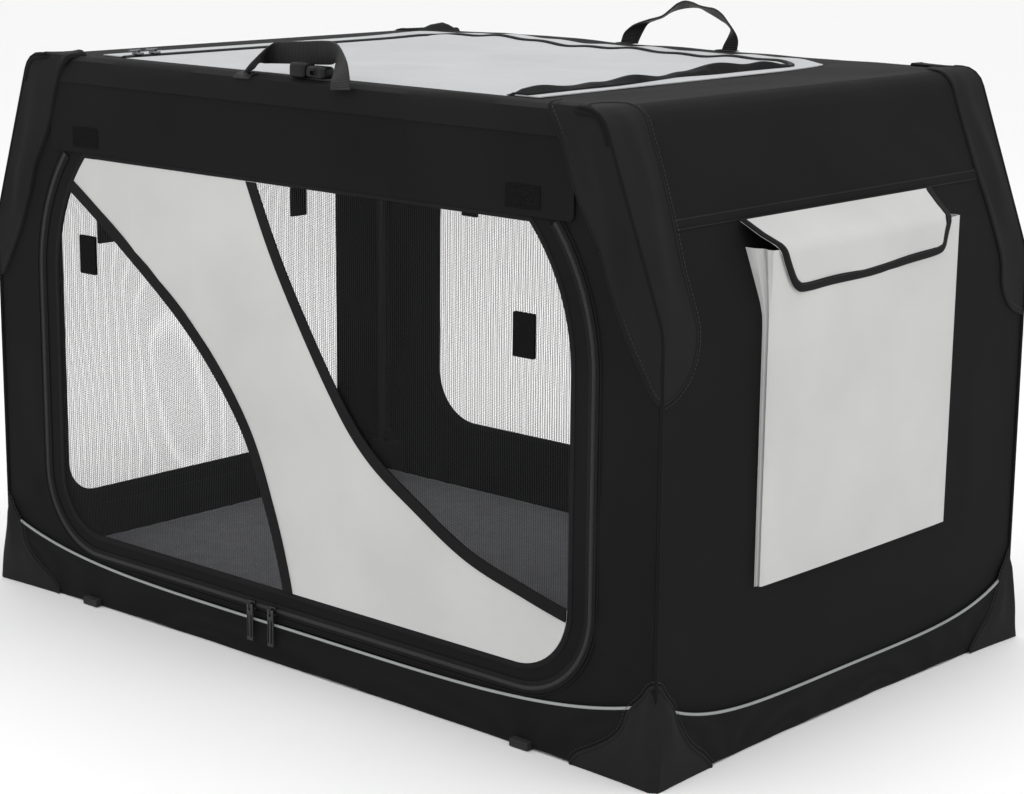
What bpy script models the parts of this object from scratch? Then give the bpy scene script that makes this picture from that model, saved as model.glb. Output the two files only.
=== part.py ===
"""Soft-sided folding crate for a dog: black cloth over two folding tube frames.

Metres, +Z up, X along the length, -Y is the front, +X is the end with the pocket.
The origin is the centre of the underside.
"""

import math

import bmesh
import bpy
from mathutils import Vector

# Overall size of the closed crate.
LENGTH = 0.910
DEPTH = 0.580
HEIGHT = 0.580
# The ends stand upright to the kink and lean in above it.
KINK_Z = 0.400
LEAN = 0.068
KINK_RADIUS = 0.060
TOP_RADIUS = 0.040

# Cloth, net and clearances.
CLOTH = 0.002
NET = 0.0008
TRIM = 0.0012
FIT = 0.0003
DOOR_GAP = 0.0005
FOLD_GAP = 0.0005

# Frame tubes and their pivots.
TUBE_R = 0.007
TUBE_BEND = 0.035
RAIL_DROP = 0.0256
FRONT_PIVOT_Z = 0.042
PIVOT_STEP = 0.024
PIN_R = 0.003
PIN_PLAY = 0.0003
LEG_TAIL = 0.007
EAR = 0.005
EAR_GAP = 0.0005
EAR_R = 0.0068
BRACKET_X = 0.0347
BRACKET_Y = 0.0197
ROD_R = 0.0065
ROD_INSET = 0.014

# Base.
RIM_DROP = 0.002
BOARD = 0.003
BOARD_EDGE = 0.014
MAT_EDGE = 0.0175
MAT_SIDE = 0.0236
MAT_CROWN = 0.0139
MAT_RIM = 0.0095
MAT_DRAW = 0.004
FOOT_X = 0.307
FOOT_WIDTH = 0.022
FOOT_OUT = 0.010
FOOT_HIGH = 0.008

# Piping and corner boots.
PIPE_R = 0.0025
PIPE_LOW = 0.040
PIPE_RISE = 0.0365
PIPE_POWER = 4.5
BOOT_FRONT = 0.086
BOOT_END = 0.076
BOOT_HIGH = 0.072
BOOT_THICK = 0.0015

# Doors of the long sides.
DOOR_HALF = 0.377
DOOR_LOW = 0.060
DOOR_TOP = 0.483
DOOR_CORNER = 0.080
ARCH_Z = 0.350
ARCH_IN = 0.050
BORDER = 0.022
BORDER_LOW = 0.017
BORDER_TOP = 0.004
OPENING_CORNER = 0.060
ZIP_WIDTH = 0.010
HINGE_OUT = 0.0035
BAND_HALF = 0.357
BAND_GAP = 0.0057
BAND_THICK = 0.002
BAND_CORNER = 0.006
TAB_X = 0.305
TAB_Z = 0.3775
TAB_WIDE = 0.025
TAB_HIGH = 0.040
TAB_THICK = 0.0012
BINDING = 0.011
SASH = 0.0012

# Door of the left end, measured along the wall.
LEFT_HALF = 0.229
LEFT_LOW = 0.058
LEFT_TOP = 0.470
LEFT_CORNER = 0.050
LEFT_SHOULDER = 0.030
LEFT_BORDER = 0.020
LEFT_TAB_Y = 0.146
LEFT_HINGE_OUT = 0.003

# Roof.
LIP = 0.0188
ROOF_LEFT_STRIP = 0.109
ROOF_RIGHT_STRIP = 0.151
ROOF_FRONT_STRIP = 0.033
ROOF_BACK_STRIP = 0.090
ROOF_CORNER = 0.035
ROOF_ZIP = 0.008
ROOF_MARGIN = 0.028
ROOF_HINGE_UP = 0.0015

# Pocket and its flap.
POCKET_HALF = 0.152
POCKET_LOW = 0.152
POCKET_TOP = 0.455
POCKET_OUT_LOW = 0.0075
POCKET_OUT_TOP = 0.0090
POCKET_CLOTH = 0.0015
FLAP_HALF = 0.144
FLAP_LOW = 0.4075
FLAP_TOP = 0.477
FLAP_CHAMFER = 0.034
FLAP_RISE = 0.001
FLAP_SEAT = 0.0024

# Carry handles.
STRAP = 0.026
STRAP_THICK = 0.002
HANDLE_X = 0.008
HANDLE_HALF = 0.076
GRIP_HALF = 0.034
GRIP_IN = 0.0275
HANDLE_EDGE = 0.003
ARCH_HIGH = 0.045
HANDLE_HINGE_OUT = 0.003

# Buckle on the front of the roof.
BUCKLE_X = 0.000
BUCKLE_LONG = 0.026
BUCKLE_WIDE = 0.018
BUCKLE_HIGH = 0.013
BUCKLE_WALL = 0.002
BUCKLE_IN = 0.004
PLUG_GRIP = 0.019
PLUG_REACH = 0.020
PLUG_PLAY = 0.0005

# Zip sliders and pulls.
SLIDER_X = 0.009
SLIDER_Z = 0.0095
SLIDER_THICK = 0.0025
SLIDER_LEFT = -0.055
SLIDER_RIGHT = -0.025
LUG_X = 0.002
LUG_OUT = 0.0032
PULL_WIDE = 0.006
PULL_THICK = 0.0008
PULL_LONG = 0.036
PULL_NOTCH = 0.006
PULL_STAND = 0.0022
ROOF_SLIDER_IN = 0.021
ROOF_SLIDER_STEP = 0.022

BLACK = (0.016, 0.016, 0.018)
GREY = (0.61, 0.61, 0.60)
ROOF_GREY = (0.64, 0.655, 0.665)

# Heights and positions that follow from the sizes above.
HALF_X = LENGTH / 2
HALF_Y = DEPTH / 2
ROOF_LEFT = HALF_X - LEAN - ROOF_LEFT_STRIP
ROOF_RIGHT = HALF_X - LEAN - ROOF_RIGHT_STRIP
ROOF_FRONT = HALF_Y - ROOF_FRONT_STRIP
ROOF_BACK = HALF_Y - ROOF_BACK_STRIP
TUBE_IN = CLOTH + FIT + TUBE_R
BACK_PIVOT_Z = FRONT_PIVOT_Z + PIVOT_STEP
RAIL_Z = HEIGHT - RAIL_DROP
RIM_Z = FRONT_PIVOT_Z - RIM_DROP
BACK_RIM_Z = BACK_PIVOT_Z - FIT
WALL_TOP_Z = HEIGHT - LIP - FOLD_GAP
PIVOT_X = HALF_X - TUBE_IN
PIVOT_Y = HALF_Y - TUBE_IN
BASE_Z = CLOTH + FIT
BRACKET_IN = CLOTH + FIT
ROOF_TOP = HEIGHT + FIT


def right_end(u, v, w):
    return Vector((u, w, v))


def left_end(u, v, w):
    return Vector((-u, w, v))


def front_side(u, v, w):
    return Vector((w, -u, v))


def back_side(u, v, w):
    return Vector((w, u, v))


def plan(u, v, w):
    return Vector((u, v, w))


def clear_scene():
    for obj in list(bpy.data.objects):
        bpy.data.objects.remove(obj, do_unlink=True)


def finish(name, bm, colour, rough, metal=0.0, parent=None, smooth=False):
    """Makes the object, with its origin at its middle and its own material."""
    bmesh.ops.remove_doubles(bm, verts=bm.verts[:], dist=1e-7)
    bmesh.ops.recalc_face_normals(bm, faces=bm.faces[:])
    low = Vector([min(v.co[i] for v in bm.verts) for i in range(3)])
    high = Vector([max(v.co[i] for v in bm.verts) for i in range(3)])
    middle = (low + high) / 2
    bmesh.ops.translate(bm, verts=bm.verts[:], vec=-middle)
    mesh = bpy.data.meshes.new(name)
    bm.to_mesh(mesh)
    bm.free()
    obj = bpy.data.objects.new(name, mesh)
    bpy.context.scene.collection.objects.link(obj)
    obj.location = middle
    if parent is not None:
        obj.parent = parent
        obj.location = middle - Vector(parent["place"])
    if smooth:
        mesh.shade_smooth()
        mesh.set_sharp_from_angle(angle=math.radians(40))
    material = bpy.data.materials.new(name)
    material.use_nodes = True
    shader = material.node_tree.nodes["Principled BSDF"]
    shader.inputs["Base Color"].default_value = (*colour, 1.0)
    shader.inputs["Roughness"].default_value = rough
    shader.inputs["Metallic"].default_value = metal
    mesh.materials.append(material)
    return obj


def pivot(name, place, parent=None):
    """An empty on a joint's axis; what turns or slides there is its child."""
    empty = bpy.data.objects.new(name, None)
    bpy.context.scene.collection.objects.link(empty)
    empty.empty_display_size = 0.03
    place = Vector(place)
    empty.location = place
    empty["place"] = place
    if parent is not None:
        empty.parent = parent
        empty.location = place - Vector(parent["place"])
    return empty


def boolean(obj, helper, operation):
    """Joins the helper to the object or cuts it away, and hides the helper."""
    helper.hide_render = True
    helper.display_type = "WIRE"
    modifier = obj.modifiers.new(operation.lower() + "_" + helper.name, "BOOLEAN")
    modifier.operation = operation
    modifier.solver = "EXACT"
    modifier.object = helper


def turned(points):
    """The polygon's points counter-clockwise."""
    area = 0.0
    for a, b in zip(points, points[1:] + points[:1]):
        area += a[0] * b[1] - b[0] * a[1]
    return points if area > 0 else points[::-1]


def mitres(points, closed):
    """The outward mitre at each point; outward is to the right of the way on."""
    found = []
    count = len(points)
    for i in range(count):
        sides = []
        for j in (i - 1, i):
            if not closed and (j < 0 or j > count - 2):
                continue
            a = Vector(points[j % count])
            b = Vector(points[(j + 1) % count])
            d = (b - a).normalized()
            sides.append(Vector((d.y, -d.x)))
        if len(sides) == 1:
            found.append(sides[0])
            continue
        middle = (sides[0] + sides[1]).normalized()
        found.append(middle / max(0.2, middle.dot(sides[0])))
    return found


def shifted(points, distance, closed=True):
    """The outline or path moved outward by the distance."""
    moved = []
    for point, out in zip(points, mitres(points, closed)):
        moved.append((point[0] + out.x * distance, point[1] + out.y * distance))
    return moved


def fillet(points, radii, closed=True, turn=15.0):
    """Rounds the corners of a polygon or path, one arc step per some degrees."""
    result = []
    count = len(points)
    for i, radius in enumerate(radii):
        here = Vector(points[i])
        if radius <= 0 or (not closed and i in (0, count - 1)):
            result.append((here.x, here.y))
            continue
        back = (Vector(points[i - 1]) - here).normalized()
        on = (Vector(points[(i + 1) % count]) - here).normalized()
        bend = math.pi - back.angle(on)
        reach = radius * math.tan(bend / 2)
        middle = here + (back + on).normalized() * radius / math.cos(bend / 2)
        steps = max(2, round(math.degrees(bend) / turn))
        start = here + back * reach - middle
        sign = 1 if start.y * back.x - start.x * back.y > 0 else -1
        for k in range(steps + 1):
            angle = sign * bend * k / steps
            x = start.x * math.cos(angle) - start.y * math.sin(angle)
            y = start.x * math.sin(angle) + start.y * math.cos(angle)
            result.append((middle.x + x, middle.y + y))
    return result


def stations(path):
    """The distance along the path at each of its points."""
    found = [0.0]
    for a, b in zip(path, path[1:]):
        found.append(found[-1] + (Vector(b) - Vector(a)).length)
    return found


def spot(path, s, out):
    """The point at a distance along the path and outward from it."""
    marks = stations(path)
    sides = mitres(path, False)
    i = 0
    while i < len(path) - 2 and s > marks[i + 1]:
        i += 1
    share = (s - marks[i]) / (marks[i + 1] - marks[i])
    a = Vector(path[i]) + sides[i] * out
    b = Vector(path[i + 1]) + sides[i + 1] * out
    return a.lerp(b, share)


def between(path, low, high):
    """The part of a rising path from one height to another."""
    kept = []
    for a, b in zip(path, path[1:]):
        if b[1] <= low or a[1] >= high or b[1] - a[1] < 1e-9:
            continue
        start = max(a[1], low)
        end = min(b[1], high)
        for v in (start, end):
            x = a[0] + (b[0] - a[0]) * (v - a[1]) / (b[1] - a[1])
            if not kept or (Vector(kept[-1]) - Vector((x, v))).length > 1e-7:
                kept.append((x, v))
    return kept


def mirrored(half):
    """A rising right half with its left half, as one counter-clockwise outline."""
    return half + [(-x, v) for x, v in reversed(half)]


def ribbon(path, inner, outer):
    """The strip between two offsets of an open path."""
    return turned(shifted(path, outer, False) + shifted(path, inner, False)[::-1])


def curve_through(points, steps=4):
    """A smooth open curve through the points."""
    result = []
    last = len(points) - 1
    for i in range(last):
        p = [Vector(points[max(0, min(last, i + k))]) for k in (-1, 0, 1, 2)]
        for k in range(steps):
            t = k / steps
            a = 2 * p[1] + (p[2] - p[0]) * t
            b = (2 * p[0] - 5 * p[1] + 4 * p[2] - p[3]) * t * t
            c = (3 * p[1] - p[0] - 3 * p[2] + p[3]) * t ** 3
            q = (a + b + c) / 2
            result.append((q.x, q.y))
    result.append(tuple(points[-1]))
    return result


def clipped(points, border):
    """The part of a polygon that lies within a convex counter-clockwise border."""
    for i, a in enumerate(border):
        b = border[(i + 1) % len(border)]
        kept = []
        for j, p in enumerate(points):
            q = points[j - 1]
            p_in = (b[0] - a[0]) * (p[1] - a[1]) - (b[1] - a[1]) * (p[0] - a[0])
            q_in = (b[0] - a[0]) * (q[1] - a[1]) - (b[1] - a[1]) * (q[0] - a[0])
            if (p_in >= 0) != (q_in >= 0):
                t = q_in / (q_in - p_in)
                kept.append((q[0] + (p[0] - q[0]) * t, q[1] + (p[1] - q[1]) * t))
            if p_in >= 0:
                kept.append(p)
        points = kept
    clean = []
    for p in points:
        if not clean or (Vector(p) - Vector(clean[-1])).length > 2e-4:
            clean.append(p)
    if (Vector(clean[0]) - Vector(clean[-1])).length < 2e-4:
        clean.pop()
    return clean


def box_outline(c, s, half_c, half_s, radius=0.0, turn=30.0):
    corners = [(c - half_c, s - half_s), (c + half_c, s - half_s)]
    corners += [(c + half_c, s + half_s), (c - half_c, s + half_s)]
    return fillet(corners, [radius] * 4, True, turn)


def sheet(path, place, outline, holes, low, high):
    """A sheet bent along a path: outline points are (across, along the path)."""
    rings = [turned(list(ring)) for ring in [outline] + holes]
    flat = bmesh.new()
    for ring in rings:
        verts = [flat.verts.new((c, s, 0)) for c, s in ring]
        for a, b in zip(verts, verts[1:] + verts[:1]):
            flat.edges.new((a, b))
    flat.verts.index_update()
    bmesh.ops.triangle_fill(flat, edges=flat.edges[:], use_beauty=True)
    flat.verts.index_update()
    points = [(v.co.x, v.co.y) for v in flat.verts]
    faces = [[v.index for v in f.verts] for f in flat.faces]
    flat.free()
    bm = bmesh.new()
    lower = [bm.verts.new((c, s, low)) for c, s in points]
    upper = [bm.verts.new((c, s, high)) for c, s in points]
    for face in faces:
        bm.faces.new([lower[i] for i in face])
        bm.faces.new([upper[i] for i in reversed(face)])
    first = 0
    for ring in rings:
        for i in range(len(ring)):
            a = first + i
            b = first + (i + 1) % len(ring)
            bm.faces.new((lower[a], lower[b], upper[b], upper[a]))
        first += len(ring)
    marks = stations(path)
    for mark in marks[1:-1]:
        everything = bm.verts[:] + bm.edges[:] + bm.faces[:]
        bmesh.ops.bisect_plane(
            bm, geom=everything, plane_co=(0, mark, 0), plane_no=(0, 1, 0), dist=1e-6
        )
    for vert in bm.verts:
        c, s, out = vert.co
        point = spot(path, s, out)
        vert.co = place(point.x, point.y, c)
    return bm


def sweep(path, place, section, closed=False):
    """A section of (outward, across) points carried along a path."""
    bm = bmesh.new()
    rings = []
    for point, out in zip(path, mitres(path, closed)):
        ring = []
        for a, b in section:
            ring.append(bm.verts.new(place(point[0] + out.x * a, point[1] + out.y * a, b)))
        rings.append(ring)
    pairs = list(zip(rings, rings[1:]))
    if closed:
        pairs.append((rings[-1], rings[0]))
    count = len(section)
    for one, two in pairs:
        for i in range(count):
            j = (i + 1) % count
            bm.faces.new((one[i], one[j], two[j], two[i]))
    if not closed:
        bm.faces.new(rings[0])
        bm.faces.new(rings[-1][::-1])
    return bm


def circle(radius, across=0.0, sides=10):
    points = []
    for k in range(sides):
        angle = 2 * math.pi * (k + 0.5) / sides
        points.append((radius * math.cos(angle), across + radius * math.sin(angle)))
    return points


def cells(xs, ys, zs, filled, place=plan):
    """The surface of the filled cells of a grid of boxes."""
    bm = bmesh.new()
    verts = {}

    def vert(i, j, k):
        if (i, j, k) not in verts:
            verts[(i, j, k)] = bm.verts.new(place(xs[i], ys[j], zs[k]))
        return verts[(i, j, k)]

    def solid(i, j, k):
        inside = 0 <= i < len(xs) - 1 and 0 <= j < len(ys) - 1 and 0 <= k < len(zs) - 1
        return inside and filled(i, j, k)

    for i in range(len(xs) - 1):
        for j in range(len(ys) - 1):
            for k in range(len(zs) - 1):
                if not solid(i, j, k):
                    continue
                for axis in range(3):
                    for side in (0, 1):
                        step = [0, 0, 0]
                        step[axis] = 1 if side else -1
                        if solid(i + step[0], j + step[1], k + step[2]):
                            continue
                        corners = []
                        for a, b in ((0, 0), (1, 0), (1, 1), (0, 1)):
                            at = [a, b]
                            at.insert(axis, side)
                            corners.append(vert(i + at[0], j + at[1], k + at[2]))
                        bm.faces.new(corners)
    return bm


def block(low, high):
    """A plain box between two corners."""
    xs, ys, zs = [sorted((low[i], high[i])) for i in range(3)]
    return cells(xs, ys, zs, lambda i, j, k: True)


clear_scene()

# The outer face of the right end, from the floor over the top to the middle.
END_PATH = fillet(
    [(HALF_X, 0), (HALF_X, KINK_Z), (HALF_X - LEAN, HEIGHT), (0, HEIGHT)],
    [0, KINK_RADIUS, TOP_RADIUS, 0],
    False,
)
ARC_END = stations(END_PATH)[-2]
ROOF_HALF = END_PATH[-2][0] - FIT
SIDE_PATH = [(HALF_Y, 0), (HALF_Y, HEIGHT)]
ROOF_PATH = [(HALF_Y, HEIGHT - LIP), (HALF_Y, HEIGHT), (-HALF_Y, HEIGHT)]
ROOF_PATH.append((-HALF_Y, HEIGHT - LIP))


def roof_s(y):
    """The distance along the roof path at a place across the roof."""
    return LIP + HALF_Y - y


# Joint axes.
FRONT_FOLD = pivot("front_fold_axis", (0, -PIVOT_Y, FRONT_PIVOT_Z))
BACK_FOLD = pivot("back_fold_axis", (0, PIVOT_Y, BACK_PIVOT_Z))
DOOR_HINGE_Y = HALF_Y + HINGE_OUT
FRONT_DOOR = pivot("front_door_axis", (0, -DOOR_HINGE_Y, DOOR_TOP), FRONT_FOLD)
BACK_DOOR = pivot("back_door_axis", (0, DOOR_HINGE_Y, DOOR_TOP), BACK_FOLD)
LEFT_HINGE = spot(END_PATH, LEFT_TOP + DOOR_GAP, LEFT_HINGE_OUT)
LEFT_DOOR = pivot("left_door_axis", (-LEFT_HINGE.x, 0, LEFT_HINGE.y))
ROOF_DOOR = pivot("roof_door_axis", (0, -ROOF_FRONT, HEIGHT + ROOF_HINGE_UP))
HANDLE_Y = HALF_Y + HANDLE_HINGE_OUT
HANDLE_Z = HEIGHT + HANDLE_EDGE
FRONT_HANDLE = pivot("front_handle_axis", (HANDLE_X, -HANDLE_Y, HANDLE_Z))
BACK_HANDLE = pivot("back_handle_axis", (HANDLE_X, HANDLE_Y, HANDLE_Z))

# Ground sheet: a shallow tray of tough cloth, higher at the back pivots.
inner_x = HALF_X - CLOTH
inner_y = HALF_Y - CLOTH
back_x = inner_x - FIT
xs = [-HALF_X, -inner_x, -back_x, back_x, inner_x, HALF_X]
ys = [-HALF_Y, -inner_y, inner_y, HALF_Y]
zs = [0, CLOTH, RIM_Z, BACK_RIM_Z]


def tray_cell(i, j, k):
    if k == 0:
        return True
    if k == 1:
        return i in (0, 4) or j in (0, 2)
    return j == 2 and i == 2


finish("ground_sheet", cells(xs, ys, zs, tray_cell), BLACK, 0.85)

# Corner brackets: a block on the ground sheet, with a rounded ear and a pin for the leg.
ear_out = HALF_X - TUBE_IN - TUBE_R - EAR_GAP
ear_in = ear_out - EAR
out_x = HALF_X - BRACKET_IN
out_y = HALF_Y - BRACKET_IN
for sx, end in ((-1, "left"), (1, "right")):
    for sy, side, pivot_z in ((-1, "front", FRONT_PIVOT_Z), (1, "back", BACK_PIVOT_Z)):
        top = pivot_z - LEG_TAIL - FIT
        bracket = finish(
            f"corner_bracket_{side}_{end}",
            cells(
                [out_x - BRACKET_X, out_x],
                [out_y - BRACKET_Y, out_y],
                [BASE_Z, top],
                lambda i, j, k: True,
                lambda u, v, w: Vector((sx * u, sy * v, w)),
            ),
            (0.03, 0.03, 0.032),
            0.5,
        )
        arc = [math.pi * k / 8 for k in range(9)]
        ear_profile = [(EAR_R * math.sin(a), sy * PIVOT_Y + EAR_R * math.cos(a)) for a in arc]
        ear_profile += [(top - TUBE_R - pivot_z, sy * PIVOT_Y + way * EAR_R) for way in (-1, 1)]
        pin_profile = circle(PIN_R, sy * PIVOT_Y, 12)
        for piece, near, far, profile in (
            ("ear", ear_in, ear_out, ear_profile),
            ("pin", (ear_in + ear_out) / 2, out_x - FIT, pin_profile),
        ):
            path = [(far, pivot_z), (near, pivot_z)]
            bm = sweep(path, lambda u, v, w: Vector((sx * u, w, v)), profile)
            piece = finish(f"{piece}_{side}_{end}", bm, (0.5, 0.5, 0.5), 0.4)
            boolean(bracket, piece, "UNION")

# Base rails, butted against the brackets.
rail_z = BASE_Z + TUBE_R
rail_y = out_y - BRACKET_Y / 2
rail_x = out_x - BRACKET_X / 2
end_x = out_x - BRACKET_X - FIT
end_y = out_y - BRACKET_Y - FIT
for sy, side in ((-1, "front"), (1, "back")):
    bm = sweep([(-end_x, rail_z), (end_x, rail_z)], right_end, circle(TUBE_R, sy * rail_y))
    finish(f"base_rail_{side}", bm, (0.6, 0.6, 0.62), 0.35, 1.0, smooth=True)
for sx, end in ((-1, "left"), (1, "right")):
    bm = sweep([(-end_y, rail_z), (end_y, rail_z)], back_side, circle(TUBE_R, sx * rail_x))
    finish(f"base_rail_{end}", bm, (0.6, 0.6, 0.62), 0.35, 1.0, smooth=True)

# Floor board, notched round the brackets and resting on the rails.
board_z = rail_z + TUBE_R + FIT
board_x = HALF_X - BOARD_EDGE
board_y = inner_y - BOARD_EDGE / 2
notch_x = end_x
notch_y = end_y
half = [(notch_x, -board_y), (notch_x, -notch_y), (board_x, -notch_y)]
half += [(board_x, notch_y), (notch_x, notch_y), (notch_x, board_y)]
outline = mirrored(half)
bm = sheet([(0, -DEPTH), (0, DEPTH)], lambda u, v, w: Vector((w, v, u + board_z)),
           [(c, s + DEPTH) for c, s in outline], [], 0, BOARD)
finish("floor_board", bm, (0.05, 0.05, 0.055), 0.7)

# Mat: a padded sheet with a soft crown and drawn-in sides.
mat_low = board_z + BOARD + FIT
mat_x = HALF_X - MAT_EDGE
mat_y = HALF_Y - MAT_SIDE
steps_x = 26
steps_y = 18
bm = bmesh.new()
top_rows = []
for j in range(steps_y + 1):
    row = []
    for i in range(steps_x + 1):
        u = 2 * i / steps_x - 1
        v = 2 * j / steps_y - 1
        u = math.sin(u * math.pi / 2) * 0.4 + u * 0.6
        v = math.sin(v * math.pi / 2) * 0.4 + v * 0.6
        draw = MAT_DRAW * (1 - abs(v) ** 4) * abs(u) ** 8
        draw_y = MAT_DRAW * (1 - abs(u) ** 4) * abs(v) ** 8
        x = u * (mat_x - MAT_DRAW) + math.copysign(draw, u)
        y = v * (mat_y - MAT_DRAW) + math.copysign(draw_y, v)
        rise = (1 - abs(u) ** 10) * (1 - abs(v) ** 10)
        soft = 0.0008 * math.sin(7 * u + 1.3) * math.sin(5 * v + 0.4) * rise
        z = mat_low + MAT_RIM + (MAT_CROWN - MAT_RIM) * rise - abs(soft)
        row.append(bm.verts.new((x, y, z)))
    top_rows.append(row)
for j in range(steps_y):
    for i in range(steps_x):
        a = top_rows[j]
        b = top_rows[j + 1]
        bm.faces.new((a[i], a[i + 1], b[i + 1], b[i]))
edge = top_rows[0][:-1] + [row[-1] for row in top_rows[:-1]]
edge += top_rows[-1][:0:-1] + [row[0] for row in top_rows[:0:-1]]
rings = [edge]
for out, height in ((0.003, MAT_RIM * 0.55), (0.0, 0.0)):
    ring = []
    for vert in edge:
        x, y, z = vert.co
        u = x / mat_x
        v = y / mat_y
        ring.append(bm.verts.new((x + out * u, y + out * v, mat_low + height)))
    rings.append(ring)
for one, two in zip(rings, rings[1:]):
    for i in range(len(edge)):
        j = (i + 1) % len(edge)
        bm.faces.new((one[i], one[j], two[j], two[i]))
bm.faces.new(rings[-1])
bmesh.ops.triangulate(bm, faces=bm.faces[:])
finish("mat", bm, (0.06, 0.065, 0.075), 0.95, smooth=True)

# Feet that stand out under the long sides.
for sx, end in ((-1, "left"), (1, "right")):
    for sy, side in ((-1, "front"), (1, "back")):
        low = (sx * FOOT_X - FOOT_WIDTH / 2, sy * (HALF_Y + FIT), 0)
        high = (sx * FOOT_X + FOOT_WIDTH / 2, sy * (HALF_Y + FIT + FOOT_OUT), FOOT_HIGH)
        finish(f"foot_{side}_{end}", block(low, high), (0.02, 0.02, 0.02), 0.8)

# Piping all round, low along each side and rising at the corners.
pipe_x = HALF_X + FIT + PIPE_R
pipe_y = HALF_Y + FIT + PIPE_R
corners = [(pipe_x, -pipe_y), (pipe_x, pipe_y), (-pipe_x, pipe_y), (-pipe_x, -pipe_y)]
rounded = fillet(corners, [PIPE_R + FIT] * 4, True, 30)
loop = []
for a, b in zip(rounded, rounded[1:] + rounded[:1]):
    length = (Vector(b) - Vector(a)).length
    steps = 1 if length < 4 * PIPE_R else 14
    for k in range(steps):
        loop.append(tuple(Vector(a).lerp(Vector(b), k / steps)))
bm = bmesh.new()
rings = []
for (x, y), out in zip(loop, mitres(loop, True)):
    share = min(1.0, min(max(abs(x) / HALF_X, 0), max(abs(y) / HALF_Y, 0)))
    z = PIPE_LOW + PIPE_RISE * share ** PIPE_POWER
    ring = []
    for a, b in circle(PIPE_R, 0.0, 6):
        ring.append(bm.verts.new((x + out.x * a, y + out.y * a, z + b)))
    rings.append(ring)
for one, two in zip(rings, rings[1:] + rings[:1]):
    for i in range(6):
        j = (i + 1) % 6
        bm.faces.new((one[i], one[j], two[j], two[i]))
finish("piping", bm, (0.35, 0.37, 0.36), 0.6, smooth=True)

# Corner boots below the piping.
for sx, end in ((-1, "left"), (1, "right")):
    for sy, side in ((-1, "front"), (1, "back")):
        path = [(HALF_X, HALF_Y - BOOT_END), (HALF_X, HALF_Y), (HALF_X - BOOT_FRONT, HALF_Y)]
        whole = BOOT_END + BOOT_FRONT
        profile = [(0.0, 0.02), (0.16, 0.2), (0.40, 0.42), (0.60, 0.66), (0.82, 0.91)]
        rise = [(h * BOOT_HIGH, t * BOOT_END) for t, h in profile] + [(BOOT_HIGH, BOOT_END)]
        fall = [(h * BOOT_HIGH, whole - t * BOOT_FRONT) for t, h in reversed(profile)]
        outline = [(0, 0)] + rise + fall + [(0, whole)]
        bm = sheet(
            path,
            lambda u, v, w: Vector((sx * u, sy * v, w)),
            outline,
            [],
            FIT,
            FIT + BOOT_THICK,
        )
        finish(f"corner_boot_{side}_{end}", bm, BLACK, 0.8)

# Folding frames: two legs and a top rail, pinned at the base.
lean_angle = math.atan2(LEAN, HEIGHT - KINK_Z)


def frame_path(pivot_z):
    leg_x = HALF_X - TUBE_IN
    kink = shifted([(HALF_X, 0), (HALF_X, KINK_Z), (HALF_X - LEAN, HEIGHT)], -TUBE_IN, False)[1]
    top_x = HALF_X - (RAIL_Z - KINK_Z) * math.tan(lean_angle) - TUBE_IN / math.cos(lean_angle)
    points = [(leg_x, pivot_z - LEG_TAIL), kink, (top_x, RAIL_Z)]
    points += [(-top_x, RAIL_Z), (-kink[0], kink[1]), (-leg_x, pivot_z - LEG_TAIL)]
    return fillet(points, [0, KINK_RADIUS, TUBE_BEND, TUBE_BEND, KINK_RADIUS, 0], False)


for sy, side, pivot_z, fold in (
    (-1, "front", FRONT_PIVOT_Z, FRONT_FOLD),
    (1, "back", BACK_PIVOT_Z, BACK_FOLD),
):
    bm = sweep(frame_path(pivot_z), right_end, circle(TUBE_R, sy * PIVOT_Y))
    for k in range(1, 8):
        # The lower ends are rounded about the pin.
        angle = math.pi * k / 8
        normal = Vector((0, math.cos(angle), -math.sin(angle)))
        geom = bm.verts[:] + bm.edges[:] + bm.faces[:]
        point = Vector((0, sy * PIVOT_Y, pivot_z)) + normal * LEG_TAIL
        cut = bmesh.ops.bisect_plane(
            bm, geom=geom, plane_co=point, plane_no=normal, clear_outer=True
        )
        rim = [e for e in cut["geom_cut"] if isinstance(e, bmesh.types.BMEdge)]
        bmesh.ops.holes_fill(bm, edges=rim, sides=0)
    frame = finish(f"{side}_frame", bm, (0.62, 0.62, 0.64), 0.35, 1.0, fold, True)
    for sx, end in ((-1, "left"), (1, "right")):
        path = [(PIVOT_X - 2 * TUBE_R, pivot_z), (PIVOT_X + 2 * TUBE_R, pivot_z)]
        hole = finish(
            f"hole_{side}_{end}",
            sweep(
                path,
                lambda u, v, w: Vector((sx * u, w, v)),
                circle(PIN_R + PIN_PLAY, sy * PIVOT_Y, 12),
            ),
            (0.5, 0.5, 0.5),
            0.4,
        )
        boolean(frame, hole, "DIFFERENCE")

# Zip line, opening and sheets of the long sides.
arch_high = DOOR_TOP - ARCH_Z
arch_bend = 2 * math.atan2(ARCH_IN, arch_high)
arch_r = arch_high / math.sin(arch_bend)


def arched(half_width, low, top, corner, steps=5):
    """The open line of a door: down the left side, along and up the right."""
    right = []
    for k in range(steps + 1):
        angle = arch_bend * k / steps
        x = half_width - arch_r * (1 - math.cos(angle))
        right.append((x, ARCH_Z + (top - ARCH_Z) * math.sin(angle) / math.sin(arch_bend)))
    left = [(-x, z) for x, z in reversed(right)]
    base = fillet(
        [left[-1], (-half_width, low), (half_width, low), right[0]],
        [0, corner, corner, 0],
        False,
    )
    return left[:-1] + base + right[1:]


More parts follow.
